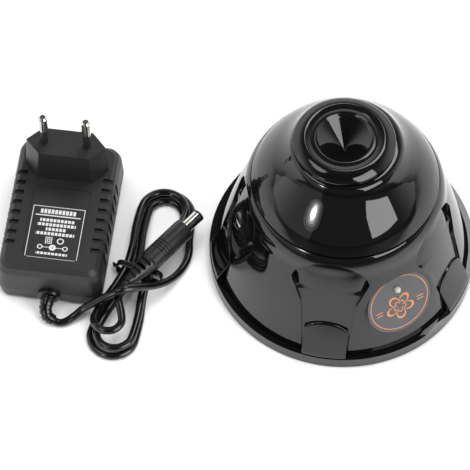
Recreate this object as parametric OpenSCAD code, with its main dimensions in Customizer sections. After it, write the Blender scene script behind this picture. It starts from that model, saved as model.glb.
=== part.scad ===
// Nail polish shaker with its mains adaptor, tied cord and low voltage plug.
// Millimetres, +Z up. The origin is the centre of the round base, on the floor.
// The viewer of the label side stands towards -Y. The adaptor lies to the left, at -X.

/* [Base] */
// Outer radius of the round base
base_r = 59; // [56:0.5:63]
// Thickness of the base plate
base_plate_t = 3; // [2.5:0.5:4]
// Height of the base rim above the base plate
base_rim_h = 3; // [2:0.5:4]
// Thickness of the ledge that the rim leaves outside the skirt
ledge_w = 2.9; // [2:0.1:4]
// How far the rubber feet stand out under the base
foot_gap = 0.8; // [0.5:0.1:1.5]
// Radius of a rubber foot
foot_r = 6; // [4:0.5:8]
// Number of panels, feet and base screws round the skirt
panel_count = 5; // [4:1:5]

/* [Lower housing] */
// Height of the seam between the lower housing and the dome
seam_z = 62.3; // [60:0.5:66]
// Outer radius of the lower housing at the seam
seam_r = 40.7; // [39.5:0.5:43]
// How far the skirt bulges outside a straight cone
skirt_bulge = 0.9; // [0.3:0.1:1.5]
// Wall of the lower housing
housing_wall = 3; // [2.5:0.5:3.5]
// Depth of the arched panels
panel_depth = 1.6; // [0.8:0.2:1.8]
// Half width of a panel at its two upper corners
panel_half_w = 17; // [14:0.5:18]
// Half width of a panel at its foot
panel_foot_half_w = 10.2; // [8:0.2:12]
// Height of a panel's upper corners above the floor
panel_corner_z = 46.3; // [42:0.5:48]
// Height of a panel's arch above its corners
panel_arch_h = 13; // [10:0.5:14]
// Height of the raised foot tongue in each panel, above the floor
tongue_z = 24.5; // [20:0.5:28]

/* [Label and lamp] */
// Radius of the round label plate
label_r = 15.5; // [13:0.5:16.5]
// Thickness of the label plate
label_t = 0.8; // [0.5:0.1:1.2]
// Height of the label's centre
label_z = 30; // [28:0.5:33]
// Distance of the label's centre from the machine's axis
label_dist = 48.6; // [48:0.2:49.6]
// How far the label leans back, in degrees
label_tilt = 21; // [18:1:24]
// Radius of the lamp's clear lens
lamp_r = 1.5; // [1.5:0.5:2.5]
// Distance of the lamp above the label's centre
lamp_up = 7.6; // [5:0.2:10]

/* [Dome] */
// Wall of the upper dome
dome_wall = 2.2; // [1.6:0.2:2.6]
// How far the dome's edge stands proud of the lower housing
dome_proud = 0.2; // [0:0.1:0.4]
// Height of the collar's crest above the seam
collar_h = 27.5; // [27:0.5:30]
// Outer radius of the collar round the cup
collar_r = 26.4; // [25.5:0.1:27.5]
// Radius of the opening in the collar
opening_r = 17; // [16:0.5:18]

/* [Shaker cup] */
// Outer radius of the cup's edge
cup_r = 22; // [21:0.2:22.6]
// Height of the cup's crest above its edge
cup_crest_h = 4.2; // [3:0.2:5]
// Radius of the cup's crest
cup_crest_r = 16; // [15.6:0.1:17]
// Radius of the cone-shaped hollow at its mouth
dimple_r = 12.3; // [10:0.1:13]
// Depth of the cone-shaped hollow below the crest
dimple_depth = 9.8; // [7:0.2:10.2]
// Radius of the circle in which the cup moves
orbit = 1.2; // [0.8:0.1:1.5]

/* [Motor and drive] */
// Outer radius of the motor's can
motor_r = 17.9; // [16.5:0.1:18.5]
// Length of the motor's can
motor_len = 47; // [44:0.5:47]
// Radius of the motor's shaft
shaft_r = 1.5875; // [1.5:0.0125:2]
// Radius of the eccentric hub
hub_r = 9; // [8.5:0.5:9.5]
// Radius of the eccentric pin
pin_r = 2; // [1.8:0.1:2.2]
// Outer radius of the ball bearing
bearing_r = 6.5; // [6.5:0.1:7]
// Width of the ball bearing
bearing_w = 5; // [4:0.5:5]
// Outer radius of the counterweight
weight_r = 16; // [13:0.5:18]

/* [Rear panel] */
// Height of the socket and the switch above the floor
rear_z = 18.5; // [18:0.5:20]
// Radius of the low voltage socket's bore
socket_r = 2.85; // [2.8:0.05:3]
// Radius of the socket's centre pin
socket_pin_r = 1.05; // [0.8:0.05:1.25]
// Travel of the power rocker, in degrees
rocker_travel = 20; // [14:1:22]

/* [Adaptor] */
// Width of the adaptor
adaptor_w = 47; // [45:0.5:50]
// Length of the adaptor
adaptor_l = 71; // [69:0.5:74]
// Thickness of the adaptor
adaptor_t = 25; // [24:0.5:28]
// Height of the six-sided plug block above the adaptor
plug_block_h = 18; // [14:0.5:19]
// Width of the plug block
plug_block_w = 35.3; // [34:0.1:36]
// Depth of the plug block
plug_block_d = 13.7; // [13:0.1:15]
// Distance between the mains pins
mains_pin_gap = 19; // [18.5:0.1:19.2]
// Radius of a mains pin
mains_pin_r = 2; // [1.9:0.05:2.1]
// Length of a mains pin outside the plug block
mains_pin_l = 19; // [18:0.5:20]
// Number of grip slots along each long edge
slot_count = 8; // [5:1:9]

/* [Cord] */
// Diameter of the low voltage cord
cord_d = 3.5; // [3.3:0.1:3.6]
// Radius of the outermost turn at the folds of the tied hank
hank_fold_r = 13; // [12.5:0.5:14]
// Length of the straight stretch between the folds
hank_run = 66; // [62:1:70]
// How far the turns draw in at the tie
hank_waist = 4.8; // [3.5:0.1:4.9]

/* [Hidden] */

// Clearances and small common sizes
fit = 0.05;          // running clearance on a radius
seat_gap = 0.2;      // clearance of a part dropped in its seat
screw_r = 1.45;      // shank of the machine screws
screw_hole_r = 1.5;  // hole that a screw's thread bites in
screw_pass_r = 1.65; // hole that a screw passes
screw_head_r = 2.75;
screw_head_h = 1.6;
round_fn = 96;       // sides for large turned shapes
small_fn = 32;       // sides for small turned shapes

// Base and skirt, worked out from the sizes above
plate_z = foot_gap;
floor_z = plate_z + base_plate_t;          // inside floor, where the housing stands
rim_z = floor_z + base_rim_h;
skirt_r = base_r - ledge_w;                // skirt radius at the rim
rim_gap = 0.2;                             // clearance between skirt and rim
panel_step = 360 / panel_count;
first_panel = -99;                         // angle of the front panel from +X
first_lobe = first_panel + panel_step / 2; // angle of the label's lobe
label_angle = first_lobe + 1.5;
rear_angle = first_lobe + floor(panel_count / 2) * panel_step;
foot_circle = base_r - 13;
boss_circle = base_r - 12;                 // circle of the base screws
boss_r = 4;
boss_h = 8;

// Drive, from the motor upwards
motor_z = 9;
motor_top = motor_z + motor_len;
can_wall = 1.2;
bracket_t = 2;
bracket_top = motor_top + bracket_t;
bracket_r = motor_r + 11.6;
post_circle = motor_r + 7.1;
post_r = 4;
isolator_h = 4;
post_top = motor_top - isolator_h;
post_angles = [0, 120, 240];
motor_screw_circle = motor_r - 5.4;
bushing_r = 4;
hub_z = bracket_top + 2.2;
hub_h = 10;
hub_top = hub_z + hub_h;
shaft_top = hub_z + 6;
bearing_z = hub_top + 2.8;
bearing_top = bearing_z + bearing_w;
race_t = 1.3;                              // thickness of a bearing ring
inner_race_r = pin_r + race_t;
outer_race_r = bearing_r - race_t;
ball_circle = (inner_race_r + outer_race_r) / 2;
ball_r = (outer_race_r - inner_race_r) / 2 - 0.02;
ball_count = 7;
cup_x = -orbit;                            // the cup's axis at rest
cup_hub_r = bearing_r + 3;
cup_hub_z = bearing_z - 2;
cup_hub_top = bearing_top + 5.2;
cup_boss_r = cup_hub_r + 3;
clip_t = 0.8;

// Dome: its crest carries the cup's edge just above it
dome_z = seam_z + 0.2;
dome_r = seam_r + dome_proud;
collar_z = seam_z + collar_h;
cup_edge_z = collar_z + 0.55;
cup_edge_t = 0.9;
cup_crest_z = cup_edge_z + cup_crest_h + 0.2;
dimple_z = cup_crest_z - dimple_depth;
flange_z = seam_z - 4;
flange_t = 2;
lip_h = 1.8;
dome_screw_circle = seam_r - 7.2;
dome_screw_angles = [90, 210, 330];
dome_boss_r = 3.6;
dome_boss_h = 8;

// Rear flat with the socket and the switch
rear_face = skirt_at(rear_z) - 3.1;
rear_half_w = 19;
rear_half_h = 9.5;
rear_wall = 2.4;
socket_y = 11;
switch_y = -7;
switch_w = 9.4;
switch_h = 14.2;
bezel_t = 1.4;
rocker_w = 7;
rocker_half_h = 5.7;
rocker_face = 3.1;
rocker_pivot = rear_face - 0.6;
rocker_axle_r = 0.9;
rocker_hole_h = 12.9;

// Adaptor and what is on its cord
adaptor_at = [-125, 9, 0];
adaptor_turn = -7.5;
adaptor_seam = 9;
adaptor_wall = 2;
plug_y = 21.5;
sleeve_l = 9.5;
sleeve_r = mains_pin_r - 0.35;
relief_z = 8;
relief_r = 3.4;
cord_r = cord_d / 2;
tie_t = 0.7;
hank_at = [-90, -13, 0];
hank_turn = 70.8;
hank_pitch = cord_d + 0.55;                // step between turns that lie side by side
hank_layer = cord_d + 0.45;                // step between the two layers
hank_turns = 3;
hank_steps = 24;                           // rings in one turn
hank_first = 3;                            // the ring at which the hank begins
hank_last = 62;                            // the ring at which it ends
plug_from = [-95.1, -23.5, 13.45];
plug_to = [-63.5, 10.9, 14.65];
plug_dir = unit(plug_to - plug_from);
plug_turn = atan2(plug_dir.y, plug_dir.x);
plug_rise = asin(plug_dir.z);
plug_l = norm(plug_to - plug_from);

// ---- shared shapes ----

// Radius of the skirt at a height
function skirt_at(z) =
    z <= rim_z ? skirt_r :
    let (t = (z - rim_z) / (seam_z - rim_z))
    skirt_r + (seam_r - skirt_r) * t + skirt_bulge * 4 * t * (1 - t);

skirt_steps = 6;
skirt_line = [for (i = [0:skirt_steps]) let (z = rim_z + (seam_z - rim_z) * i / skirt_steps) [skirt_at(z), z]];

// Smooth curve through points, with n steps between each two
function through(p, n) = concat(
    [for (i = [0:len(p) - 2], k = [0:n - 1])
        let (t = k / n, a = p[max(i - 1, 0)], b = p[i], c = p[i + 1], d = p[min(i + 2, len(p) - 1)])
        0.5 * (2 * b + (c - a) * t + (2 * a - 5 * b + 4 * c - d) * t * t + (3 * b - a - 3 * c + d) * t * t * t)],
    [p[len(p) - 1]]);

// Outline of a rectangle with round corners
function round_rect(w, l, r, n = 6) =
    [for (q = [0:3], k = [0:n])
        let (a = q * 90 + k * 90 / n,
            sx = (q == 0 || q == 3) ? 1 : -1, sy = q < 2 ? 1 : -1)
        [sx * (w / 2 - r) + r * cos(a), sy * (l / 2 - r) + r * sin(a)]];

function unit(v) = v / norm(v);

// A tube swept along points, square to its line at both ends. Its radius may be a list
module swept_tube(p, r, sides = 8, up = [0, 0, 1]) {
    last = len(p) - 1;
    radius = [for (i = [0:last]) is_list(r) ? r[i] : r];
    points = [for (i = [0:last])
        let (t = unit(p[min(i + 1, last)] - p[max(i - 1, 0)]),
            side = unit(cross(t, up)), top = cross(side, t))
        for (k = [0:sides - 1])
            let (a = 360 * (k + 0.5) / sides)
            p[i] + radius[i] * (cos(a) * side + sin(a) * top)];
    polyhedron(points, concat(
        [[for (k = [sides - 1:-1:0]) k]],
        [for (i = [0:last - 1], k = [0:sides - 1])
            let (a = i * sides + k, b = i * sides + (k + 1) % sides)
            each [[a, b, a + sides], [b, b + sides, a + sides]]],
        [[for (k = [0:sides - 1]) last * sides + k]]));
}

module ring(r_out, r_in, h, z = 0, fn = round_fn) {
    translate([0, 0, z])
        difference() {
            cylinder(r = r_out, h = h, $fn = fn);
            translate([0, 0, -1]) cylinder(r = r_in, h = h + 2, $fn = fn);
        }
}

module rod(r, z0, z1, fn = small_fn) {
    translate([0, 0, z0]) cylinder(r = r, h = z1 - z0, $fn = fn);
}

module pan_screw(r, head_r, head_h, length) {
    rod(r, -length, 0);
    rod(head_r, 0, head_h);
}

module around(angles, radius) {
    for (a = angles) rotate([0, 0, a]) translate([radius, 0, 0]) children();
}

lobe_angles = [for (i = [0:panel_count - 1]) first_lobe + i * panel_step];
panel_angles = [for (i = [0:panel_count - 1]) first_panel + i * panel_step];

// ---- base ----

module base_plate() {
    color("#1c1c1e") difference() {
        union() {
            rod(base_r, plate_z, floor_z, round_fn);
            ring(base_r, skirt_r + rim_gap, rim_z - plate_z, plate_z);
            around(post_angles, post_circle) rod(post_r, floor_z - 0.5, post_top);
            rotate([0, 0, rear_angle]) around_board() rod(2.2, floor_z - 0.5, board_z);
        }
        around(panel_angles, foot_circle) rod(foot_r + seat_gap, plate_z - 1, plate_z + 1.2);
        rod(foot_r + seat_gap, plate_z - 1, plate_z + 1.2);
        around(lobe_angles, boss_circle) {
            rod(screw_pass_r, plate_z - 1, floor_z + 1);
            rod(screw_head_r + seat_gap, plate_z - 1, plate_z + screw_head_h);
        }
        around(post_angles, post_circle) rod(screw_hole_r, post_top - 12, post_top + 1);
    }
}

module rubber_feet() {
    color("#2b2b2b") {
        around(panel_angles, foot_circle) rod(foot_r, 0, plate_z + 1.2);
        rod(foot_r, 0, plate_z + 1.2);
    }
}

module base_screws() {
    color("silver") around(lobe_angles, boss_circle)
        translate([0, 0, plate_z + screw_head_h]) mirror([0, 0, 1])
            pan_screw(screw_r, screw_head_r, screw_head_h - 0.2, base_plate_t + boss_h - 3);
}

// ---- lower housing ----

module skirt_solid(inset) {
    rotate_extrude($fn = round_fn) polygon(concat(
        [[0, floor_z], [skirt_r - inset, floor_z]],
        [for (p = skirt_line) [p.x - inset, p.y]],
        [[0, seam_z]]));
}

// Upright outline of a panel: y across, z up
function panel_outline() =
    let (w = panel_half_w, h = panel_arch_h, arch_r = (w * w + h * h) / (2 * h),
        arch_z = panel_corner_z + h - arch_r, half = asin(w / arch_r), foot = panel_foot_half_w)
    concat(
        [[-foot, rim_z + 0.4], [foot, rim_z + 0.4], [foot + 0.4, rim_z + 13], [w * 0.7, rim_z + 28]],
        [for (k = [0:8]) let (a = 90 - half + k * half / 4) [arch_r * cos(a), arch_z + arch_r * sin(a)]],
        [[-w * 0.7, rim_z + 28], [-foot - 0.4, rim_z + 13]]);

// The solid inside the panels' floors
module panel_core() {
    rotate([0, 0, 180]) rotate_extrude($fn = round_fn) polygon(concat(
        [[0, rim_z], [skirt_r - 0.7, rim_z]],
        [for (i = [1:5]) let (z = rim_z + 1 + (seam_z - rim_z) * i / 5) [skirt_at(z) - panel_depth, z]],
        [[0, seam_z + 1]]));
}

function tongue_outline() =
    let (w = panel_foot_half_w - 0.4, h = 4, arch_r = (w * w + h * h) / (2 * h), half = asin(w / arch_r))
    concat(
        [[-w, rim_z - 10], [w, rim_z - 10]],
        [for (k = [0:8]) let (a = 90 - half + k * half / 4)
            [arch_r * cos(a), tongue_z - arch_r + arch_r * sin(a)]]);

module upright(outline, depth) {
    rotate([90, 0, 90]) linear_extrude(depth) polygon(outline);
}

module panel_cut() {
    difference() {
        translate([30, 0, 0]) upright(panel_outline(), base_r - 25);
        panel_core();
    }
}

module foot_tongue() {
    intersection() {
        upright(tongue_outline(), base_r);
        rotate([0, 0, 180]) rotate_extrude($fn = round_fn) polygon([
            [skirt_r - 2.3, rim_z + 0.05], [base_r - 0.3, rim_z + 0.05], [base_r - 0.6, rim_z + 2],
            [skirt_at(tongue_z) - panel_depth + 0.9, tongue_z], [skirt_at(tongue_z) - 2.3, tongue_z + 1]]);
    }
}

// Local frame with +Z out of the label plate and -X up its slope
module at_label() {
    rotate([0, 0, label_angle]) translate([label_dist, 0, label_z]) rotate([0, 90 - label_tilt, 0]) children();
}

// Local frame of the rear flat: +X out of the wall
module at_rear() {
    rotate([0, 0, rear_angle]) children();
}

module rear_box(x0, x1, half_w, half_h, y = 0) {
    translate([x0, y - half_w, rear_z - half_h]) cube([x1 - x0, 2 * half_w, 2 * half_h]);
}

module housing_shell() {
    difference() {
        skirt_solid(0);
        skirt_cavity();
    }
    intersection() {
        skirt_solid(0.4);
        union() {
            at_label() rod(label_r + 2.4, -2.4, 3, round_fn);
            at_rear() rear_box(rear_face - rear_wall, rear_face + 2, rear_half_w + 2, rear_half_h + 2);
        }
    }
}

module lower_housing() {
    color("#151517") difference() {
        union() {
            difference() {
                housing_shell();
                for (a = panel_angles) rotate([0, 0, a]) panel_cut();
                at_label() rod(label_r + 0.4, 0, 30, round_fn);
                at_rear() rear_box(rear_face, base_r + 5, rear_half_w, rear_half_h);
            }
            for (a = panel_angles) rotate([0, 0, a]) foot_tongue();
            around(lobe_angles, boss_circle) {
                rod(boss_r, floor_z, floor_z + boss_h);
                translate([0, -1.5, floor_z]) cube([7, 3, boss_h]);
            }
            ring(skirt_at(flange_z) - housing_wall + 0.6, dome_screw_circle - 3.5, flange_t, flange_z);
        }
        around(lobe_angles, boss_circle) rod(screw_hole_r, floor_z - 1, floor_z + boss_h - 1.5);
        around(dome_screw_angles, dome_screw_circle) rod(screw_pass_r, flange_z - 1, flange_z + flange_t + 1);
        at_label() translate([-lamp_up, 0, -6]) cylinder(r = lamp_r + 0.1, h = 12, $fn = small_fn);
        at_rear() {
            translate([0, socket_y, rear_z]) rotate([0, 90, 0]) rod(4.1, rear_face - 8, rear_face + 3);
            rear_box(rear_face - 8, rear_face + 3, switch_w / 2 + 0.1, switch_h / 2 + 0.1, switch_y);
        }
    }
}

module skirt_cavity() {
    rotate_extrude($fn = round_fn) polygon(concat(
        [[0, floor_z - 1], [skirt_r - housing_wall, floor_z - 1]],
        [for (p = skirt_line) [p.x - housing_wall, p.y]],
        [[seam_r - housing_wall, seam_z + 1], [0, seam_z + 1]]));
}

module label_disc() {
    color("#4c4c4e") at_label() difference() {
        rod(label_r, 0, label_t, round_fn);
        translate([-lamp_up, 0, -1]) cylinder(r = lamp_r + 0.1, h = label_t + 2, $fn = small_fn);
    }
}

module lamp() {
    color("white") at_label() translate([-lamp_up, 0, 0]) {
        rod(lamp_r, -3.4, label_t + 0.6);
        translate([0, 0, label_t + 0.6]) sphere(r = lamp_r, $fn = small_fn);
        rod(lamp_r + 0.5, -3.4, -2.4);
        for (s = [-1, 1]) translate([0, s * 0.64, 0]) rod(0.25, -9, -3.4, 16);
    }
}

// ---- dome ----

// Outer line of the dome from its edge up to the collar's crest
dome_points = [
    [dome_r, dome_z], [dome_r - 1.4, dome_z + 2.6], [dome_r - 3.4, dome_z + 6.2],
    [dome_r - 6.2, dome_z + 10.1], [collar_r + 5, dome_z + 13.6], [collar_r + 2.2, dome_z + 17.2],
    [collar_r + 0.7, dome_z + 20.4], [collar_r, dome_z + 23], [collar_r - 0.8, collar_z - 2.2],
    [collar_r - 2.2, collar_z - 0.6], [collar_r - 4.4, collar_z]];
dome_line = through(dome_points, 3);

module upper_dome() {
    color("#151517") difference() {
        union() {
            difference() {
                rotate_extrude($fn = round_fn) polygon(concat(
                    dome_line, [[opening_r, collar_z], [0, collar_z], [0, dome_z]]));
                rotate_extrude($fn = round_fn) polygon(concat(
                    [[0, dome_z - 1], [dome_r - dome_wall, dome_z - 1]],
                    [for (i = [2:3:len(dome_line) - 9]) dome_line[i] - [dome_wall, dome_wall * 0.45]],
                    [[collar_r - dome_wall, collar_z - 3.4], [opening_r + 3, collar_z - dome_wall],
                        [0, collar_z - dome_wall]]));
                rod(opening_r, dome_z, collar_z + 1, round_fn);
            }
            ring(seam_r - housing_wall - seat_gap, seam_r - housing_wall - 2, lip_h + 1, dome_z - lip_h);
            ring(dome_r - 0.6, seam_r - housing_wall - 2, 1, dome_z);
            around(dome_screw_angles, dome_screw_circle) rod(dome_boss_r, flange_z + flange_t, dome_z + 5);
        }
        around(dome_screw_angles, dome_screw_circle)
            rod(screw_hole_r, flange_z + flange_t - 1, dome_z + 3.4);
    }
}

module dome_screws() {
    color("silver") around(dome_screw_angles, dome_screw_circle)
        translate([0, 0, flange_z]) mirror([0, 0, 1]) pan_screw(screw_r, screw_head_r, screw_head_h, 7);
}

// ---- shaker cup ----

cup_line = through([
    [dimple_r + 2.4, cup_crest_z - 0.5], [cup_crest_r, cup_crest_z], [cup_crest_r + 2, cup_crest_z - 0.5],
    [cup_r - 1.9, cup_edge_z + cup_edge_t + 1.5], [cup_r - 0.3, cup_edge_z + cup_edge_t]], 4);

module shaker_cup() {
    color("#161616") translate([cup_x, 0, 0]) difference() {
        rotate_extrude($fn = round_fn) polygon(concat(
            [[0, dimple_z], [dimple_r, cup_crest_z - 0.7], [dimple_r + 2, cup_crest_z - 0.1]],
            cup_line,
            [[cup_r, cup_edge_z + cup_edge_t * 0.5], [cup_r - 0.4, cup_edge_z], [cup_boss_r, cup_edge_z],
                [cup_boss_r, cup_hub_z + 2], [0, cup_hub_z + 2]]));
        rod(cup_hub_r + fit, cup_hub_z - 1, cup_hub_top, round_fn);
    }
}

module cup_hub() {
    color("#d8d8d0") translate([cup_x, 0, 0]) difference() {
        rod(cup_hub_r, cup_hub_z, cup_hub_top, round_fn);
        rod(bearing_r + 0.02, cup_hub_z - 1, bearing_top, round_fn);
        rod(bearing_r + 0.45, bearing_z - clip_t - 0.1, bearing_z, round_fn);
        rod(bearing_r - 1.3, bearing_top - 1, bearing_top + 2.8, round_fn);
    }
}

module bearing_outer_ring() {
    color("silver") translate([cup_x, 0, 0]) bearing_ring(bearing_r, outer_race_r);
}

module bearing_inner_ring() {
    color("silver") translate([cup_x, 0, 0]) bearing_ring(inner_race_r, pin_r + 0.02);
}

// A bearing ring whose race is a groove that the balls run in
module bearing_ring(r_out, r_in) {
    difference() {
        ring(r_out, r_in, bearing_w, bearing_z);
        translate([0, 0, bearing_z + bearing_w / 2])
            rotate_extrude($fn = round_fn) translate([ball_circle, 0]) circle(r = ball_r + 0.06, $fn = small_fn);
    }
}

module bearing_balls() {
    color("gainsboro") translate([cup_x, 0, bearing_z + bearing_w / 2])
        around([for (i = [0:ball_count - 1]) i * 360 / ball_count], ball_circle)
            sphere(r = ball_r, $fn = small_fn);
}

module bearing_cage() {
    color("goldenrod") translate([cup_x, 0, 0]) difference() {
        ring(ball_circle + 0.3, ball_circle - 0.3, 2.2, bearing_z + bearing_w / 2 - 1.1);
        translate([0, 0, bearing_z + bearing_w / 2])
            around([for (i = [0:ball_count - 1]) i * 360 / ball_count], ball_circle)
                rotate([0, 90, 0]) cylinder(r = ball_r + 0.05, h = 4, center = true, $fn = small_fn);
    }
}

module bearing_clip() {
    color("dimgray") translate([cup_x, 0, bearing_z - clip_t]) difference() {
        ring(bearing_r + 0.4, bearing_r - 1, clip_t, 0);
        translate([0, -1.5, -1]) cube([bearing_r + 2, 3, clip_t + 2]);
    }
}

// ---- motor and drive ----

module motor_bracket() {
    color("lightgray") difference() {
        rod(bracket_r, motor_top, bracket_top, round_fn);
        rod(bushing_r + 1.3, motor_top - 1, bracket_top + 1, round_fn);
        around([0, 180], motor_screw_circle) rod(screw_pass_r, motor_top - 1, bracket_top + 1);
        around(post_angles, post_circle) rod(screw_pass_r, motor_top - 1, bracket_top + 1);
        around([60, 180, 300], post_circle) rod(4, motor_top - 1, bracket_top + 1);
    }
}

module isolators() {
    color("#303030") around(post_angles, post_circle) ring(post_r + 0.8, screw_pass_r, isolator_h, post_top, small_fn);
}

module drive_screws() {
    color("silver") {
        around(post_angles, post_circle) translate([0, 0, bracket_top])
            pan_screw(screw_r, screw_head_r, screw_head_h, bracket_t + isolator_h + 8);
        around([0, 180], motor_screw_circle) translate([0, 0, bracket_top])
            pan_screw(screw_r, screw_head_r, screw_head_h, bracket_t + can_wall + 1.5);
    }
}

module motor_can() {
    color("silver") difference() {
        union() {
            rod(motor_r, motor_z, motor_top, round_fn);
            rod(bushing_r + 1.2, motor_top, bracket_top + 0.4, round_fn);
        }
        rod(motor_r - can_wall, motor_z - 1, motor_top - can_wall, round_fn);
        rod(bushing_r, motor_top - can_wall - 1, bracket_top + 1, round_fn);
        around([0, 180], motor_screw_circle) rod(screw_hole_r, motor_top - 4, motor_top + 1);
    }
}

module motor_end_cap() {
    color("#26221f") difference() {
        union() {
            rod(motor_r - can_wall - fit, motor_z, motor_z + 3, round_fn);
            for (s = [0, 180]) rotate([0, 0, s]) translate([-2.6, 5.2, motor_z + 2]) cube([5.2, 5.4, 7.6]);
        }
        rod(bushing_r, motor_z - 1, motor_z + 4, round_fn);
        for (s = [0, 180]) rotate([0, 0, s]) translate([-1.55, 3, motor_z + 5.95]) cube([3.1, 10, 2.6]);
        for (s = [-1, 1]) translate([s * 11 - 1.45, -0.3, motor_z - 1]) cube([2.9, 0.6, 6]);
    }
}

module motor_magnets() {
    color("#3a3a3c") intersection() {
        ring(motor_r - can_wall - 0.02, motor_r - can_wall - 2.2, motor_len - 24, motor_z + 12);
        for (s = [0, 180]) rotate([0, 0, s]) translate([6, -9, motor_z + 5]) cube([motor_r, 18, motor_len]);
    }
}

module motor_brushes() {
    color("#444446") for (s = [0, 180]) rotate([0, 0, s])
        translate([-1.5, commutator_r + 0.1, motor_z + 6]) cube([3, 6, 2.5]);
}

module motor_terminals() {
    color("goldenrod") for (s = [-1, 1]) translate([s * 11 - 1.4, -0.25, floor_z + 1.2])
        cube([2.8, 0.5, motor_z + 4 - floor_z - 1.2]);
}

module shaft_bushings() {
    color("peru") {
        ring(bushing_r - 0.02, shaft_r + 0.03, 3, motor_z);
        ring(bushing_r - 0.02, shaft_r + 0.03, can_wall + bracket_t + 0.4, motor_top - can_wall);
    }
}

commutator_r = 4.2;
core_r = motor_r - can_wall - 2.8;
core_z = motor_z + 13;
core_h = motor_len - 26;

module motor_shaft() {
    color("gainsboro") rod(shaft_r, motor_z + 0.3, shaft_top, round_fn);
}

module armature_core() {
    color("slategray") difference() {
        rod(core_r, core_z, core_z + core_h, round_fn);
        rod(shaft_r, core_z - 1, core_z + core_h + 1, round_fn);
        for (a = [0:72:288]) rotate([0, 0, a]) {
            translate([core_r - 3, -0.8, core_z - 1]) cube([5, 1.6, core_h + 2]);
            translate([core_r - 4.6, 0, core_z - 1]) cylinder(r = 2.4, h = core_h + 2, $fn = small_fn);
        }
    }
}

module armature_windings() {
    color("chocolate") for (z = [core_z - 3.2, core_z + core_h]) difference() {
        rod(core_r - 2, z, z + 3.2, round_fn);
        rod(commutator_r, z - 1, z + 5, round_fn);
    }
}

module commutator() {
    color("peru") difference() {
        rod(commutator_r, motor_z + 4.6, core_z - 3.2, round_fn);
        rod(shaft_r, motor_z, core_z, round_fn);
        for (a = [0:72:288]) rotate([0, 0, a]) translate([commutator_r - 0.4, -0.2, motor_z]) cube([1, 0.4, core_z]);
    }
}

module eccentric_hub() {
    color("darkgray") difference() {
        union() {
            rod(hub_r, hub_z, hub_top, round_fn);
            translate([cup_x, 0, 0]) rod(pin_r + 1.1, hub_top - 1, bearing_z);
        }
        rod(shaft_r, hub_z - 1, shaft_top + 0.2, round_fn);
        translate([cup_x, 0, 0]) rod(pin_r, shaft_top + 1, bearing_z + 1);
        translate([0, 0, hub_z + 3]) rotate([0, -90, 0]) rod(screw_hole_r, 0, hub_r + 2);
    }
}

module counterweight() {
    color("goldenrod") difference() {
        ring(weight_r, hub_r, 5.6, hub_z + 0.3);
        translate([-weight_r - 1, -weight_r - 1, hub_z - 1]) cube([weight_r + 1, 2 * weight_r + 2, 10]);
    }
}

module grub_screw() {
    color("#2a2a2a") translate([0, 0, hub_z + 3]) rotate([0, -90, 0]) difference() {
        rod(screw_r, shaft_r + 0.02, hub_r - 0.6);
        translate([0, 0, hub_r - 2.2]) cylinder(r = 0.8, h = 4, $fn = 6);
    }
}

module eccentric_pin() {
    color("gainsboro") translate([cup_x, 0, 0]) difference() {
        rod(pin_r, shaft_top + 1, bearing_top, round_fn);
        rod(1.05, bearing_top - 4, bearing_top + 1);
    }
}

module pin_screw() {
    color("#2a2a2a") translate([cup_x, 0, 0]) {
        rod(1, bearing_top - 3.6, bearing_top);
        rod(inner_race_r - 0.1, bearing_top, bearing_top + 0.5);
        rod(1.9, bearing_top + 0.5, bearing_top + 2);
    }
}

// ---- rear panel ----

module switch_body() {
    color("#1a1a1a") at_rear() difference() {
        union() {
            rear_box(rear_face, rear_face + bezel_t, switch_w / 2 + 0.9, switch_h / 2 + 0.9, switch_y);
            rear_box(rear_face - 12, rear_face, switch_w / 2, switch_h / 2, switch_y);
        }
        rear_box(rear_face - 7, rear_face + 3, rocker_w / 2 + 0.25, rocker_hole_h / 2, switch_y);
        translate([rocker_pivot, switch_y, rear_z]) rotate([90, 0, 0])
            cylinder(r = rocker_axle_r + fit, h = switch_w - 0.6, center = true, $fn = small_fn);
    }
}

module switch_terminals() {
    color("goldenrod") at_rear() for (z = [-3.5, 3.5])
        translate([rear_face - 18, switch_y - 2.4, rear_z + z - 0.4]) cube([7, 4.8, 0.8]);
}

module power_rocker() {
    color("#202020") at_rear() translate([rocker_pivot, switch_y, rear_z]) rotate([0, rocker_travel / 2, 0])
        rotate([90, 0, 0]) {
            translate([0, 0, -rocker_w / 2]) linear_extrude(rocker_w) polygon([
                [rocker_face - 0.9, 0], [rocker_face - 0.6, 2.4], [rocker_face, rocker_half_h],
                [-0.6, rocker_half_h - 0.2], [-2.6, 1.2], [-2.6, -1.2],
                [-0.6, -rocker_half_h + 0.2], [rocker_face, -rocker_half_h], [rocker_face - 0.6, -2.4]]);
            cylinder(r = rocker_axle_r, h = switch_w - 0.8, center = true, $fn = small_fn);
        }
}

module dc_socket() {
    color("#1a1a1a") at_rear() translate([0, socket_y, rear_z]) rotate([0, 90, 0]) difference() {
        union() {
            rod(4, rear_face - 9, rear_face);
            rod(5.4, rear_face, rear_face + 1.4);
        }
        rod(socket_r, rear_face - 7.6, rear_face + 3);
        rod(socket_pin_r, rear_face - 10, rear_face);
    }
}

module socket_contacts() {
    color("silver") at_rear() {
        translate([0, socket_y, rear_z]) rotate([0, 90, 0]) rod(socket_pin_r, rear_face - 13, rear_face + 0.4);
        translate([rear_face - 13, socket_y + 2.2, rear_z - 1.2]) cube([4, 0.5, 2.4]);
    }
}

module socket_nut() {
    color("silver") at_rear() translate([0, socket_y, rear_z]) rotate([0, 90, 0]) difference() {
        translate([0, 0, rear_face - rear_wall - 2]) cylinder(r = 5.1, h = 1.6, $fn = 6);
        rod(4.02, rear_face - 9, rear_face);
    }
}

board_z = floor_z + 3.2;
board_t = 1.6;
board_x = rear_face - 22;

module around_board() {
    for (s = [-9, 9]) translate([board_x + 7, s, 0]) children();
}

module circuit_board() {
    color("darkgreen") at_rear() translate([board_x, -13, board_z]) cube([14, 26, board_t]);
}

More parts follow.
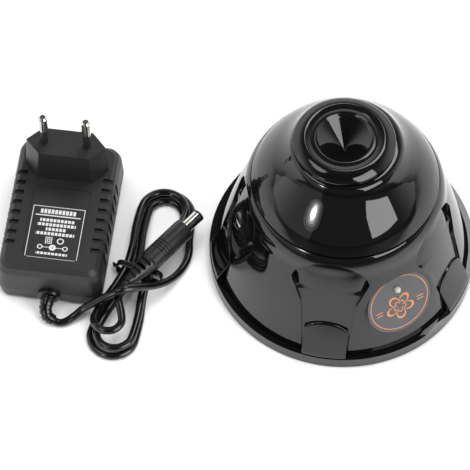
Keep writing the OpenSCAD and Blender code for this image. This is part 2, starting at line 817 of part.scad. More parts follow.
module board_parts() {
    color("#806040") at_rear() translate([board_x, 0, board_z + board_t]) {
        translate([7, -6, 1.1]) rotate([90, 0, 0]) cylinder(r = 1.1, h = 5.6, $fn = small_fn);
        translate([4, 6, 0]) cylinder(r = 2.5, h = 5, $fn = small_fn);
        translate([9, 1, 0]) cube([3, 4, 1.2]);
    }
}

wire_r = 0.7;

// Wires between the socket, the switch, the board and the motor
module wire_supply() {
    color("red") at_rear() swept_tube(through([
        [rear_face - 13.1, socket_y, rear_z], [rear_face - 15, socket_y - 0.5, rear_z + 1],
        [rear_face - 18, socket_y - 6, rear_z + 4.5], [rear_face - 20, socket_y - 12, rear_z + 4.4],
        [rear_face - 19.6, switch_y + 1, rear_z + 3.8], [rear_face - 18.1, switch_y, rear_z + 3.5]], 3), wire_r);
}

module wire_switched() {
    color("red") swept_tube(through([
        rear_point(rear_face - 18.1, switch_y, rear_z - 3.5), rear_point(rear_face - 20, switch_y - 0.5, rear_z - 4),
        rear_point(rear_face - 24, switch_y - 6, rear_z - 4), rear_point(motor_r + 4, -15, floor_z + 6),
        [motor_r + 3, 7, floor_z + 4], [motor_r - 3, 1.2, floor_z + 2.6], [11.4, 0.35, floor_z + 2.4]], 3), wire_r);
}

module wire_return() {
    color("#202020") swept_tube(through([
        rear_point(rear_face - 13.1, socket_y + 2.4, rear_z), rear_point(rear_face - 15, socket_y + 3, rear_z - 0.4),
        rear_point(rear_face - 20, socket_y + 7, rear_z - 3), rear_point(motor_r + 8, 20, floor_z + 8),
        [-motor_r - 3, 8, floor_z + 4], [-motor_r + 3, 1.2, floor_z + 2.6], [-11.4, 0.35, floor_z + 2.4]], 3), wire_r);
}

function rear_point(x, y, z) =
    [x * cos(rear_angle) - y * sin(rear_angle), x * sin(rear_angle) + y * cos(rear_angle), z];

// ---- adaptor ----

module at_adaptor() {
    translate(adaptor_at) rotate([0, 0, adaptor_turn]) children();
}

module slab(inset, z, r = 5) {
    translate([0, 0, z]) linear_extrude(0.05) polygon(round_rect(adaptor_w - 2 * inset, adaptor_l - 2 * inset, r));
}

module hexagon_slab(grow, z) {
    w = plug_block_w / 2 + grow;
    d = plug_block_d / 2 + grow;
    translate([0, plug_y, z]) linear_extrude(0.05)
        polygon([[w, 0], [w - 6.5, d], [6.5 - w, d], [-w, 0], [6.5 - w, -d], [w - 6.5, -d]]);
}

slot_pitch = 5.2;
slot_w = 2.2;
slot_l = 6.5;
slot_y0 = plug_y - 6;

module grip_slots() {
    for (i = [0:slot_count - 1], s = [-1, 1])
        translate([s > 0 ? adaptor_w / 2 - slot_l : -adaptor_w / 2 - 1, slot_y0 - i * slot_pitch - slot_w / 2, 0])
            difference() {
                translate([0, 0, adaptor_t - 11]) cube([slot_l + 1, slot_w, 12]);
                translate([s > 0 ? -1 : 2.2, -1, adaptor_t - 12]) cube([slot_l - 0.2, slot_w + 2, 11]);
            }
}

module adaptor_top_shell() {
    color("#202022") at_adaptor() difference() {
        union() {
            hull() {
                slab(0, adaptor_seam);
                slab(0.6, adaptor_t - 5);
                slab(1.6, adaptor_t - 1.6);
                slab(3.4, adaptor_t - 0.05, 4);
            }
            hull() {
                hexagon_slab(1.2, adaptor_t - 2);
                hexagon_slab(0, adaptor_t + plug_block_h - 0.05);
            }
        }
        translate([0, 0, adaptor_seam - 1]) linear_extrude(adaptor_t - adaptor_seam - 1.2)
            polygon(round_rect(adaptor_w - 9, adaptor_l - 9, 4));
        grip_slots();
        translate([0, -9, adaptor_t - 0.5]) linear_extrude(2) polygon(round_rect(26, 37, 3));
        for (s = [-1, 1]) translate([s * mains_pin_gap / 2, plug_y, 0])
            rod(sleeve_r + 0.02, adaptor_t - 4, adaptor_t + plug_block_h + 1);
        relief_hole();
    }
}

module adaptor_bottom_shell() {
    color("#1c1c1e") at_adaptor() difference() {
        hull() {
            slab(3, 0, 4);
            slab(0.8, 2);
            slab(0, adaptor_seam - 0.05);
        }
        translate([0, 0, 2]) linear_extrude(adaptor_seam) polygon(round_rect(adaptor_w - 9, adaptor_l - 9, 4));
        relief_hole();
    }
}

module relief_hole() {
    translate([0, -adaptor_l / 2 - 3, relief_z]) rotate([-90, 0, 0]) rod(relief_r, 0, 9);
}

module mains_pins() {
    color("silver") at_adaptor() for (s = [-1, 1]) translate([s * mains_pin_gap / 2, plug_y, 0]) {
        rod(mains_pin_r, adaptor_t + plug_block_h + sleeve_l, adaptor_t + plug_block_h + mains_pin_l - 0.8);
        translate([0, 0, adaptor_t + plug_block_h + mains_pin_l - 0.8]) cylinder(r1 = mains_pin_r, r2 = 1.2, h = 0.8, $fn = small_fn);
        rod(mains_pin_r - 0.75, adaptor_t - 4, adaptor_t + plug_block_h + sleeve_l);
    }
}

module pin_sleeves() {
    color("#101010") at_adaptor() for (s = [-1, 1]) translate([s * mains_pin_gap / 2, plug_y, 0])
        ring(sleeve_r, mains_pin_r - 0.75, plug_block_h + sleeve_l + 3, adaptor_t - 3, small_fn);
}

module adaptor_board() {
    color("darkgreen") at_adaptor() translate([-17, -29, 5]) cube([34, 54, 1.6]);
    color("darkgreen") at_adaptor() for (x = [-14, 14], y = [-24, 20]) translate([x, y, 0]) rod(1.5, 2, 5);
}

module transformer() {
    color("gold") at_adaptor() translate([0, -6, 6.6]) {
        translate([-9, -8, 0]) cube([18, 16, 12]);
        translate([-7, -10, 3]) cube([14, 20, 6]);
    }
}

module capacitors() {
    color("navy") at_adaptor() {
        translate([-8, 13, 6.6]) cylinder(r = 5, h = 13, $fn = small_fn);
        translate([7, 14, 6.6]) cylinder(r = 4, h = 11, $fn = small_fn);
        translate([0, -23, 6.6]) cylinder(r = 4, h = 12, $fn = small_fn);
    }
}

module strain_relief() {
    color("#161616") at_adaptor() {
        translate([0, -adaptor_l / 2, relief_z]) rotate([90, 0, 0]) {
            rod(relief_r - 0.02, -5, 0);
            rod(relief_r + 1.6, 0, 2.1);
        }
        last = len(boot_line) - 1;
        swept_tube(boot_line, [for (i = [0:last])
            relief_r - (relief_r - cord_r - 0.7) * i / last - (i % 3 == 2 ? 0.45 : 0)], 16);
    }
}

// ---- cord ----

function turned(p, a, at) = [p.x * cos(a) - p.y * sin(a) + at.x, p.x * sin(a) + p.y * cos(a) + at.y, p.z + at.z];

// Line of the bent boot on the strain relief, from the adaptor's face
boot_local = [
    [0, -adaptor_l / 2 - 2, relief_z], [-0.3, -adaptor_l / 2 - 4, relief_z - 0.4],
    [-0.5, -adaptor_l / 2 - 6.6, relief_z - 1.7], [0.5, -adaptor_l / 2 - 9, relief_z - 3.6],
    [3.2, -adaptor_l / 2 - 9.9, relief_z - 5.1]];
boot_line = through(boot_local, 5);
boot_end = turned(boot_local[4], adaptor_turn, adaptor_at);

// A point of the hank. Its turns spiral in on the floor layer and out again on the upper one
function hank_point(i) =
    let (u = i / hank_steps, quarter = hank_steps / 4,
        inward = min(u, hank_turns - u) * hank_pitch,
        r = hank_fold_r - inward, k = i % hank_steps,
        climb = max(0, min(1, (u - hank_turns / 2 + 0.25) * 2)),
        z = cord_r + hank_layer * (1 - cos(180 * climb)) / 2,
        on_run = k <= quarter / 2 || (k >= quarter * 1.5 && k <= quarter * 2.5) || k >= quarter * 3.5,
        along = k <= quarter / 2 ? k : k >= quarter * 3.5 ? k - hank_steps : 2 * quarter - k,
        x = along / (quarter / 2) * hank_run / 2,
        draw = pow(cos(90 * x / (hank_run / 2)), 2),
        far = k > quarter / 2 && k < quarter * 1.5,
        turn = far ? (k - quarter / 2) / quarter * 180 - 90 : (k - quarter * 2.5) / quarter * 180 + 90,
        back = k >= quarter * 1.5 && k <= quarter * 2.5)
    on_run
        ? [x, (back ? 1 : -1) * (r - hank_waist * draw), z + (tie_t + 0.1) * draw]
        : [(far ? 1 : -1) * hank_run / 2 + r * cos(turn), r * sin(turn), z];

hank_local = [for (i = [hank_first:hank_last]) hank_point(i)];
hank_path = [for (p = hank_local) turned(p, hank_turn, hank_at)];

// Least gap of the hank to itself, measured on points between its turns
hank_gap = min([for (i = [0:len(hank_local) - 1], j = [0:len(hank_local) - 1])
    if (j > i + 5) norm(hank_local[i] - hank_local[j]) - cord_d]);
echo(hank_gap = hank_gap);

// The cord from the adaptor over the hank and round to its first turn
run_points = [
    [-125.4, -37.3, 2], [-122.2, -36.8, 2.1], [-118.6, -34.6, 3], [-114.8, -32.4, 5.2], [-110.2, -31.4, 8.8],
    [-104.2, -30.9, 13.8], [-98.4, -30, 17.1], [-94.2, -28.7, 17], [-88.6, -26.2, 14.2],
    [-82.6, -22.9, 10], [-77.4, -18.2, 5.6], [-73.4, -13, 2.6], [-70.4, -8.2, 1.85],
    [-68.6, -3.7, 1.85], [-68, 0.2, 1.85], [-68, 4.5, 1.8]];
run_end = hank_path[0] - 3.5 * unit(hank_path[1] - hank_path[0]);
run_path = through(concat([boot_end], run_points, [run_end, hank_path[0]]), 4);

// The cord from the last turn of the hank round a hairpin and up to the low voltage plug
tail_local = [
    [-25.5, 10.5, 6], [-30.5, 10.2, 7.6], [-34.5, 7.6, 9.7], [-36, 3.4, 10.2], [-34.2, -0.8, 10.3],
    [-30, -2.6, 10.6], [-25, -0.6, 11.2], [-19.8, 2.4, 12]];
tail_path = through(concat([hank_path[len(hank_path) - 1]], [for (p = tail_local) turned(p, hank_turn, hank_at)],
    [plug_from - 3.5 * plug_dir, plug_from]), 4);

module cord_run() {
    color("#0e0e0e") swept_tube(run_path, cord_r);
}

module cord_hank() {
    color("#0e0e0e") swept_tube(hank_path, cord_r, 6);
}

module cord_tail() {
    color("#0e0e0e") swept_tube(tail_path, cord_r);
}

tie_half = hank_fold_r - hank_waist + cord_r + 0.2;
tie_top = cord_d + hank_layer + tie_t + 0.2;

module cord_tie() {
    color("#101010") translate(hank_at) rotate([0, 0, hank_turn]) {
        translate([-1.5, 0, 0]) rotate([90, 0, 90]) linear_extrude(3) difference() {
            translate([0, tie_top / 2 + tie_t / 2]) polygon(round_rect(2 * (tie_half + tie_t), tie_top + tie_t, 3));
            translate([0, tie_top / 2 + tie_t / 2]) polygon(round_rect(2 * tie_half, tie_top - tie_t, 2.4));
        }
        translate([0, tie_half + tie_t - 0.2, 4]) rotate([-80, 0, 20]) cylinder(r = 1, h = 2.6, $fn = small_fn);
    }
}

barrel_l = 9.5;
barrel_r = 2.75;
grip_r = 5;
boot_l = 14;

module at_plug() {
    translate(plug_from) rotate([0, 0, plug_turn]) rotate([0, 90 - plug_rise, 0]) children();
}

module plug_grip() {
    color("#141414") at_plug() difference() {
        union() {
            cylinder(r1 = cord_r + 0.7, r2 = 3.9, h = boot_l, $fn = small_fn);
            for (z = [2.6:2.8:boot_l - 2]) translate([0, 0, z]) cylinder(r = 3.1 + z * 0.09, h = 1.3, $fn = small_fn);
            rod(grip_r, boot_l, plug_l - barrel_l, round_fn);
        }
        for (i = [0:3]) ring(grip_r + 1, grip_r - 0.4, 0.6, boot_l + 6 + i * 1.5);
        rod(barrel_r, plug_l - barrel_l - 3, plug_l - barrel_l + 1);
    }
}

module plug_barrel() {
    color("silver") at_plug() ring(barrel_r, barrel_r - 0.45, barrel_l + 2, plug_l - barrel_l - 3, small_fn);
}

module plug_tip() {
    color("#101010") at_plug() difference() {
        union() {
            rod(barrel_r - 0.45, plug_l - barrel_l - 3, plug_l - 1);
            rod(barrel_r, plug_l - 1, plug_l);
        }
        rod(1.15, plug_l - 9, plug_l + 1);
    }
}

base_plate();
rubber_feet();
base_screws();
lower_housing();
label_disc();
lamp();
upper_dome();
dome_screws();
motor_bracket();
isolators();
drive_screws();
motor_can();
motor_end_cap();
motor_magnets();
motor_brushes();
motor_terminals();
shaft_bushings();
switch_body();
switch_terminals();
dc_socket();
socket_contacts();
socket_nut();
circuit_board();
board_parts();
wire_supply();
wire_switched();
wire_return();
motor_shaft();
armature_core();
armature_windings();
commutator();
eccentric_hub();
counterweight();
grub_screw();
eccentric_pin();
bearing_inner_ring();
pin_screw();
bearing_balls();
bearing_cage();
shaker_cup();
cup_hub();
bearing_outer_ring();
bearing_clip();
power_rocker();
adaptor_top_shell();
adaptor_bottom_shell();
mains_pins();
pin_sleeves();
adaptor_board();
transformer();
capacitors();
strain_relief();
cord_run();
cord_hank();
cord_tail();
cord_tie();
plug_grip();
plug_barrel();
plug_tip();
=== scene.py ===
"""Nail polish shaker: the finished look of the machine, its mains adaptor and its tied cord.

Lengths are in millimetres until a mesh is made, which is in metres. +Z is up and the label side
faces -Y, as in the solids.
"""

import enum
import logging
import math
from dataclasses import dataclass, field
from typing import Any, Callable, Sequence

import bmesh
import bpy
from mathutils import Matrix, Vector


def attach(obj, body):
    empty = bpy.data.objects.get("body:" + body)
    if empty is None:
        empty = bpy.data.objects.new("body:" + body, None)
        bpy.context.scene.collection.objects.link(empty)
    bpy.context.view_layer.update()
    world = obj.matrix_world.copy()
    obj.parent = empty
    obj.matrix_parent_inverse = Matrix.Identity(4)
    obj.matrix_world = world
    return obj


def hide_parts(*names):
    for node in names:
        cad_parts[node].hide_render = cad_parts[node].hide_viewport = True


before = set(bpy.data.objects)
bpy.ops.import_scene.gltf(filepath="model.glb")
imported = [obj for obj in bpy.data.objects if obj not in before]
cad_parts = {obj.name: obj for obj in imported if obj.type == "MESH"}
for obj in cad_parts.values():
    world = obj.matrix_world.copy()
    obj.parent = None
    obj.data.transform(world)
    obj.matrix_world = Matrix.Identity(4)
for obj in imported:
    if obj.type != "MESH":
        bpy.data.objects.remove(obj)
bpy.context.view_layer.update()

log = logging.getLogger("shaker")

MM = 0.001
Point = tuple[float, float, float]
Pair = tuple[float, float]
Socket = bpy.types.NodeSocket
BOX_FACES = [(0, 1, 2, 3), (7, 6, 5, 4), (0, 4, 5, 1), (1, 5, 6, 2), (2, 6, 7, 3), (3, 7, 4, 0)]


# ---------------------------------------------------------------- colours and nodes


def linear(hex_code: str) -> tuple[float, float, float, float]:
    """Turn an sRGB hex colour into linear light.

    Args:
        hex_code: Six hex digits, with or without a leading #.

    Returns:
        Red, green, blue and an alpha of one.
    """
    code = hex_code.lstrip("#")
    parts = [int(code[i : i + 2], 16) / 255 for i in (0, 2, 4)]
    lin = [p / 12.92 if p <= 0.04045 else ((p + 0.055) / 1.055) ** 2.4 for p in parts]
    return (lin[0], lin[1], lin[2], 1.0)


def add_node(
    tree: bpy.types.NodeTree,
    kind: str,
    settings: dict[str, Any] | None = None,
    links: dict[Any, Socket] | None = None,
) -> bpy.types.Node:
    """Add one shader node, set it up and link it.

    Args:
        tree: The node tree it goes in.
        kind: Blender's name for the node, such as ShaderNodeMath.
        settings: Attribute names, or input names or numbers, with their values.
        links: Input names or numbers with the sockets that feed them.

    Returns:
        The new node.
    """
    node = tree.nodes.new(kind)
    for key, value in (settings or {}).items():
        if isinstance(key, str) and hasattr(node, key) and key not in node.inputs:
            setattr(node, key, value)
        else:
            node.inputs[key].default_value = value
    for key, socket in (links or {}).items():
        tree.links.new(socket, node.inputs[key])
    return node


def sums(tree: bpy.types.NodeTree) -> Callable[..., Socket]:
    """Give a maker of math nodes for one tree.

    Args:
        tree: The node tree that they go in.

    Returns:
        A function of an operation's name and its sockets or numbers.
    """

    def sum_of(operation: str, *values: Any) -> Socket:
        """One sum on sockets or numbers."""
        node = add_node(tree, "ShaderNodeMath", {"operation": operation})
        for i, value in enumerate(values):
            if isinstance(value, Socket):
                tree.links.new(value, node.inputs[i])
            else:
                node.inputs[i].default_value = value
        return node.outputs[0]

    return sum_of


def length_of(sum_of: Callable[..., Socket], x: Socket, y: Socket) -> Socket:
    """Length of a flat vector, from its two parts."""
    return sum_of("SQRT", sum_of("ADD", sum_of("MULTIPLY", x, x), sum_of("MULTIPLY", y, y)))


class Pattern(enum.Enum):
    """How a surface's small relief is laid out."""

    SMOOTH = "smooth"
    GRAIN = "grain"
    TURNED = "turned"
    WOUND = "wound"


@dataclass(frozen=True)
class Finish:
    """One real material with the way its surface was made."""

    name: str
    colour: str
    roughness: float
    metallic: float = 0.0
    ior: float = 1.5
    pattern: Pattern = Pattern.SMOOTH
    pitch_mm: float = 2.0
    relief_mm: float = 0.01
    tone_change: float = 0.1
    transmission: float = 0.0

    def build(self) -> bpy.types.Material:
        """Make the material, with its colour change, roughness change and relief.

        Returns:
            The material, made once and then shared.
        """
        known = bpy.data.materials.get(self.name)
        if known:
            return known
        material = bpy.data.materials.new(self.name)
        material.use_nodes = True
        tree = material.node_tree
        tree.nodes.clear()
        out = add_node(tree, "ShaderNodeOutputMaterial")
        surface = add_node(
            tree,
            "ShaderNodeBsdfPrincipled",
            {"Metallic": self.metallic, "Transmission Weight": self.transmission},
        )
        if not self.metallic:
            surface.inputs["IOR"].default_value = self.ior
        tree.links.new(surface.outputs[0], out.inputs[0])
        place = add_node(tree, "ShaderNodeTexCoord")
        relief = self.relief(tree, place)
        # Slow change of tone over about 30 mm, as in any moulded or plated batch
        cloud = add_node(
            tree, "ShaderNodeTexNoise", {"Scale": 35.0, "Detail": 3.0}, {"Vector": place.outputs["Object"]}
        )
        light = tuple(min(1.0, c * (1 + self.tone_change)) for c in linear(self.colour)[:3]) + (1.0,)
        dark = tuple(c * (1 - self.tone_change) for c in linear(self.colour)[:3]) + (1.0,)
        tone = add_node(
            tree,
            "ShaderNodeMix",
            {"data_type": "RGBA", 6: dark, 7: light},
            {0: cloud.outputs["Fac"]},
        )
        tree.links.new(tone.outputs[2], surface.inputs["Base Color"])
        rough = add_node(
            tree,
            "ShaderNodeMapRange",
            {"To Min": self.roughness * 0.85, "To Max": min(1.0, self.roughness * 1.15)},
            {"Value": cloud.outputs["Fac"]},
        )
        tree.links.new(rough.outputs[0], surface.inputs["Roughness"])
        bump = add_node(
            tree,
            "ShaderNodeBump",
            {"Strength": 1.0, "Distance": self.relief_mm * MM},
            {"Height": relief},
        )
        tree.links.new(bump.outputs[0], surface.inputs["Normal"])
        return material

    def relief(self, tree: bpy.types.NodeTree, place: bpy.types.Node) -> Socket:
        """Make the height pattern of the surface.

        Args:
            tree: The material's node tree.
            place: Its texture coordinates, in metres.

        Returns:
            The socket that carries the height, from nought to one.
        """
        per_metre = 1000.0 / self.pitch_mm
        if self.pattern is Pattern.TURNED:
            rings = add_node(
                tree,
                "ShaderNodeTexNoise",
                {"Scale": 1.0, "Detail": 2.0},
                {
                    "Vector": add_node(
                        tree,
                        "ShaderNodeMapping",
                        {"Scale": (20.0, 20.0, per_metre)},
                        {"Vector": place.outputs["Object"]},
                    ).outputs[0]
                },
            )
            return rings.outputs["Fac"]
        if self.pattern is Pattern.WOUND:
            turns = add_node(
                tree,
                "ShaderNodeTexWave",
                {"Scale": per_metre / 6.283, "Distortion": 1.5, "Detail": 1.0, "bands_direction": "DIAGONAL"},
                {"Vector": place.outputs["Object"]},
            )
            return turns.outputs["Fac"]
        detail = 4.0 if self.pattern is Pattern.GRAIN else 1.0
        grain = add_node(
            tree,
            "ShaderNodeTexNoise",
            {"Scale": per_metre, "Detail": detail, "Roughness": 0.6},
            {"Vector": place.outputs["Object"]},
        )
        return grain.outputs["Fac"]


def metal(name: str, colour: str, roughness: float, pitch_mm: float, relief_mm: float) -> Finish:
    """A turned or drawn metal, whose fine rings stretch its highlights."""
    return Finish(name, colour, roughness, 1, pattern=Pattern.TURNED, pitch_mm=pitch_mm, relief_mm=relief_mm)


# Gloss black ABS, moulded in a polished tool: a deep black that mirrors the lamps
GLOSS_ABS = Finish("gloss_black_abs", "#0a0a0c", 0.035, ior=1.53, pitch_mm=14, relief_mm=0.012)
# The cup's moulded rubber has a polished face, a little softer in its mirror than the dome
CUP_RUBBER = Finish("polished_black_rubber", "#0b0b0c", 0.07, ior=1.52, pitch_mm=9, relief_mm=0.015)
# Satin black ABS of the socket and the switch: the same plastic from a plain tool
SATIN_ABS = Finish("satin_black_abs", "#161618", 0.34, ior=1.53, pitch_mm=1.2, relief_mm=0.01)
# Spark-eroded ABS of the adaptor: a dry, fine grit of about 0.7 mm that greys the black
GRIT_ABS = Finish(
    "spark_eroded_black_abs", "#1b1b1c", 0.43, ior=1.53, pattern=Pattern.GRAIN, pitch_mm=0.7, relief_mm=0.09
)
# Soft PVC of the cord, its boot and its tie: long wet-looking lines along each strand
CORD_PVC = Finish("black_cord_pvc", "#0c0c0d", 0.2, ior=1.53, pitch_mm=3, relief_mm=0.02)
# The plug's grip is the same PVC from an etched tool: dull, so that its slots read as shadows
GRIP_PVC = Finish(
    "satin_plug_pvc", "#141415", 0.38, ior=1.53, pattern=Pattern.GRAIN, pitch_mm=1.0, relief_mm=0.03
)
# Dry grey rubber: no highlight at all
FOOT_RUBBER = Finish(
    "grey_foot_rubber", "#2b2b2c", 0.75, ior=1.52, pattern=Pattern.GRAIN, pitch_mm=0.9, relief_mm=0.05
)
# Bright nickel: clean, narrow lines of light along the pins and the barrel
NICKEL = metal("bright_nickel_plate", "#d6d4cf", 0.14, 0.5, 0.004)
# Turned steel of shaft and hub: grey with visible tool rings
STEEL = metal("turned_steel", "#a9abad", 0.3, 0.4, 0.01)
# Zinc plate on screws and the motor's can: a pale, slightly blue and cloudy metal
ZINC = Finish("zinc_plated_steel", "#b5b9bd", 0.36, 1, pattern=Pattern.GRAIN, pitch_mm=1.5, relief_mm=0.01)
# Black oxide: a dark metal that keeps a metal's highlight
BLACK_OXIDE = metal("black_oxide_steel", "#232325", 0.45, 0.5, 0.01)
# Machined brass: the warm weight and contacts
BRASS = metal("machined_brass", "#c9a255", 0.25, 0.5, 0.008)
# Enamelled wire: red-brown turns side by side
COPPER = Finish(
    "enamelled_copper_wire", "#a4532a", 0.28, 1, pattern=Pattern.WOUND, pitch_mm=0.6, relief_mm=0.15
)
# Natural nylon: milky and half dull
NYLON = Finish("natural_nylon", "#d9d6c8", 0.42, pitch_mm=2, relief_mm=0.02)
# Dark phenolic, with the faint fleck of its filler
PHENOLIC = Finish("dark_phenolic", "#1f1b18", 0.45, pattern=Pattern.GRAIN, pitch_mm=0.8, relief_mm=0.02)
# Sintered ferrite: rough, dry and charcoal grey
FERRITE = Finish("sintered_ferrite", "#2f2f31", 0.7, pattern=Pattern.GRAIN, pitch_mm=0.5, relief_mm=0.04)
# Solder mask: a smooth lacquered green
BOARD = Finish("green_solder_mask", "#14532b", 0.3, pitch_mm=3, relief_mm=0.02)
# Lacquered brown cases of the small parts on the board
RESISTOR = Finish("brown_component_case", "#5b3f25", 0.45, pitch_mm=1.5, relief_mm=0.02)
# Yellow polyester tape, whose lapped edges show as bands
TAPE = Finish("yellow_winding_tape", "#d8a91f", 0.35, pattern=Pattern.WOUND, pitch_mm=2.5, relief_mm=0.08)
# Shrunk sleeve: tight, dark and shiny
SLEEVE = Finish("dark_blue_shrunk_sleeve", "#101c46", 0.25, pitch_mm=2.5, relief_mm=0.02)
# Wire PVC: an even, waxy red
RED_PVC = Finish("red_wire_pvc", "#a01414", 0.35, pitch_mm=1.5, relief_mm=0.02)
# Cast epoxy of the lamp: half clear, with one hard glint
LENS = Finish(
    "clear_epoxy_lens", "#f2f2ee", 0.06, transmission=0.55, pitch_mm=2, relief_mm=0.004, tone_change=0.02
)


@dataclass(frozen=True)
class PrintedLabel:
    """Satin grey film with a plain printed flower of five petals in a ring."""

    name: str = "satin_printed_label"
    ground: tuple[str, str] = ("#3a3a3c", "#48484a")
    ink: str = "#c4793a"
    radius_mm: float = 15.5
    petals: int = 5
    turn: float = 0.8
    flower_sizes: Pair = (6.4, 3.0)
    flower_drop: float = 2.2

    def build(self, centre: Vector, across: Vector, upward: Vector) -> bpy.types.Material:
        """Make the label's material in its own plane.

        Args:
            centre: The label's centre, in metres.
            across: Unit vector to the reader's right.
            upward: Unit vector up the label.

        Returns:
            The material.
        """
        material = bpy.data.materials.new(self.name)
        material.use_nodes = True
        tree = material.node_tree
        tree.nodes.clear()
        out = add_node(tree, "ShaderNodeOutputMaterial")
        gloss = {"Roughness": 0.3, "IOR": 1.5, "Coat Weight": 0.25}
        surface = add_node(tree, "ShaderNodeBsdfPrincipled", gloss)
        tree.links.new(surface.outputs[0], out.inputs[0])
        place = add_node(tree, "ShaderNodeTexCoord")
        from_centre = {"operation": "SUBTRACT", 1: tuple(centre)}
        offset = add_node(tree, "ShaderNodeVectorMath", from_centre, {0: place.outputs["Object"]})

        sum_of = sums(tree)

        def along(axis: Vector) -> Socket:
            """Distance from the centre along an axis, in millimetres."""
            settings = {"operation": "DOT_PRODUCT", 1: tuple(axis)}
            dot = add_node(tree, "ShaderNodeVectorMath", settings, {0: offset.outputs[0]})
            return sum_of("MULTIPLY", dot.outputs["Value"], 1 / MM)

        def flower(size: float) -> Socket:
            """One on the outline of a flower of a given size."""
            phase = sum_of("MULTIPLY_ADD", angle, self.petals / 2, self.turn)
            wave = sum_of("ABSOLUTE", sum_of("COSINE", phase))
            edge = sum_of("MULTIPLY_ADD", sum_of("POWER", wave, 0.6), size * 0.72, size * 0.28)
            return sum_of("COMPARE", far, edge, size * 0.09)

        x, y = along(across), along(upward)
        below = sum_of("ADD", y, self.flower_drop)
        far = length_of(sum_of, x, below)
        angle = sum_of("ARCTAN2", below, x)
        ring = sum_of("COMPARE", length_of(sum_of, x, y), self.radius_mm - 1.6, 0.2)
        bars = sum_of(
            "MULTIPLY",
            sum_of("COMPARE", sum_of("ABSOLUTE", x), 10.0, 1.6),
            sum_of("COMPARE", sum_of("ABSOLUTE", below), 0.8, 0.22),
        )
        large, small = (flower(size) for size in self.flower_sizes)
        ink = sum_of("MAXIMUM", sum_of("MAXIMUM", ring, large), sum_of("MAXIMUM", small, bars))
        # Film's own texture, about 0.6 mm from one thread to the next
        weave = {"Scale": 1600.0, "Detail": 3.0}
        fibre = add_node(tree, "ShaderNodeTexNoise", weave, {"Vector": place.outputs["Object"]})
        paper = add_node(
            tree,
            "ShaderNodeMix",
            {"data_type": "RGBA", 6: linear(self.ground[0]), 7: linear(self.ground[1])},
            {0: fibre.outputs["Fac"]},
        )
        printed = add_node(
            tree, "ShaderNodeMix", {"data_type": "RGBA", 7: linear(self.ink)}, {0: ink, 6: paper.outputs[2]}
        )
        tree.links.new(printed.outputs[2], surface.inputs["Base Color"])
        depth = {"Strength": 0.6, "Distance": 0.04 * MM}
        bump = add_node(tree, "ShaderNodeBump", depth, {"Height": fibre.outputs["Fac"]})
        tree.links.new(bump.outputs[0], surface.inputs["Normal"])
        return material


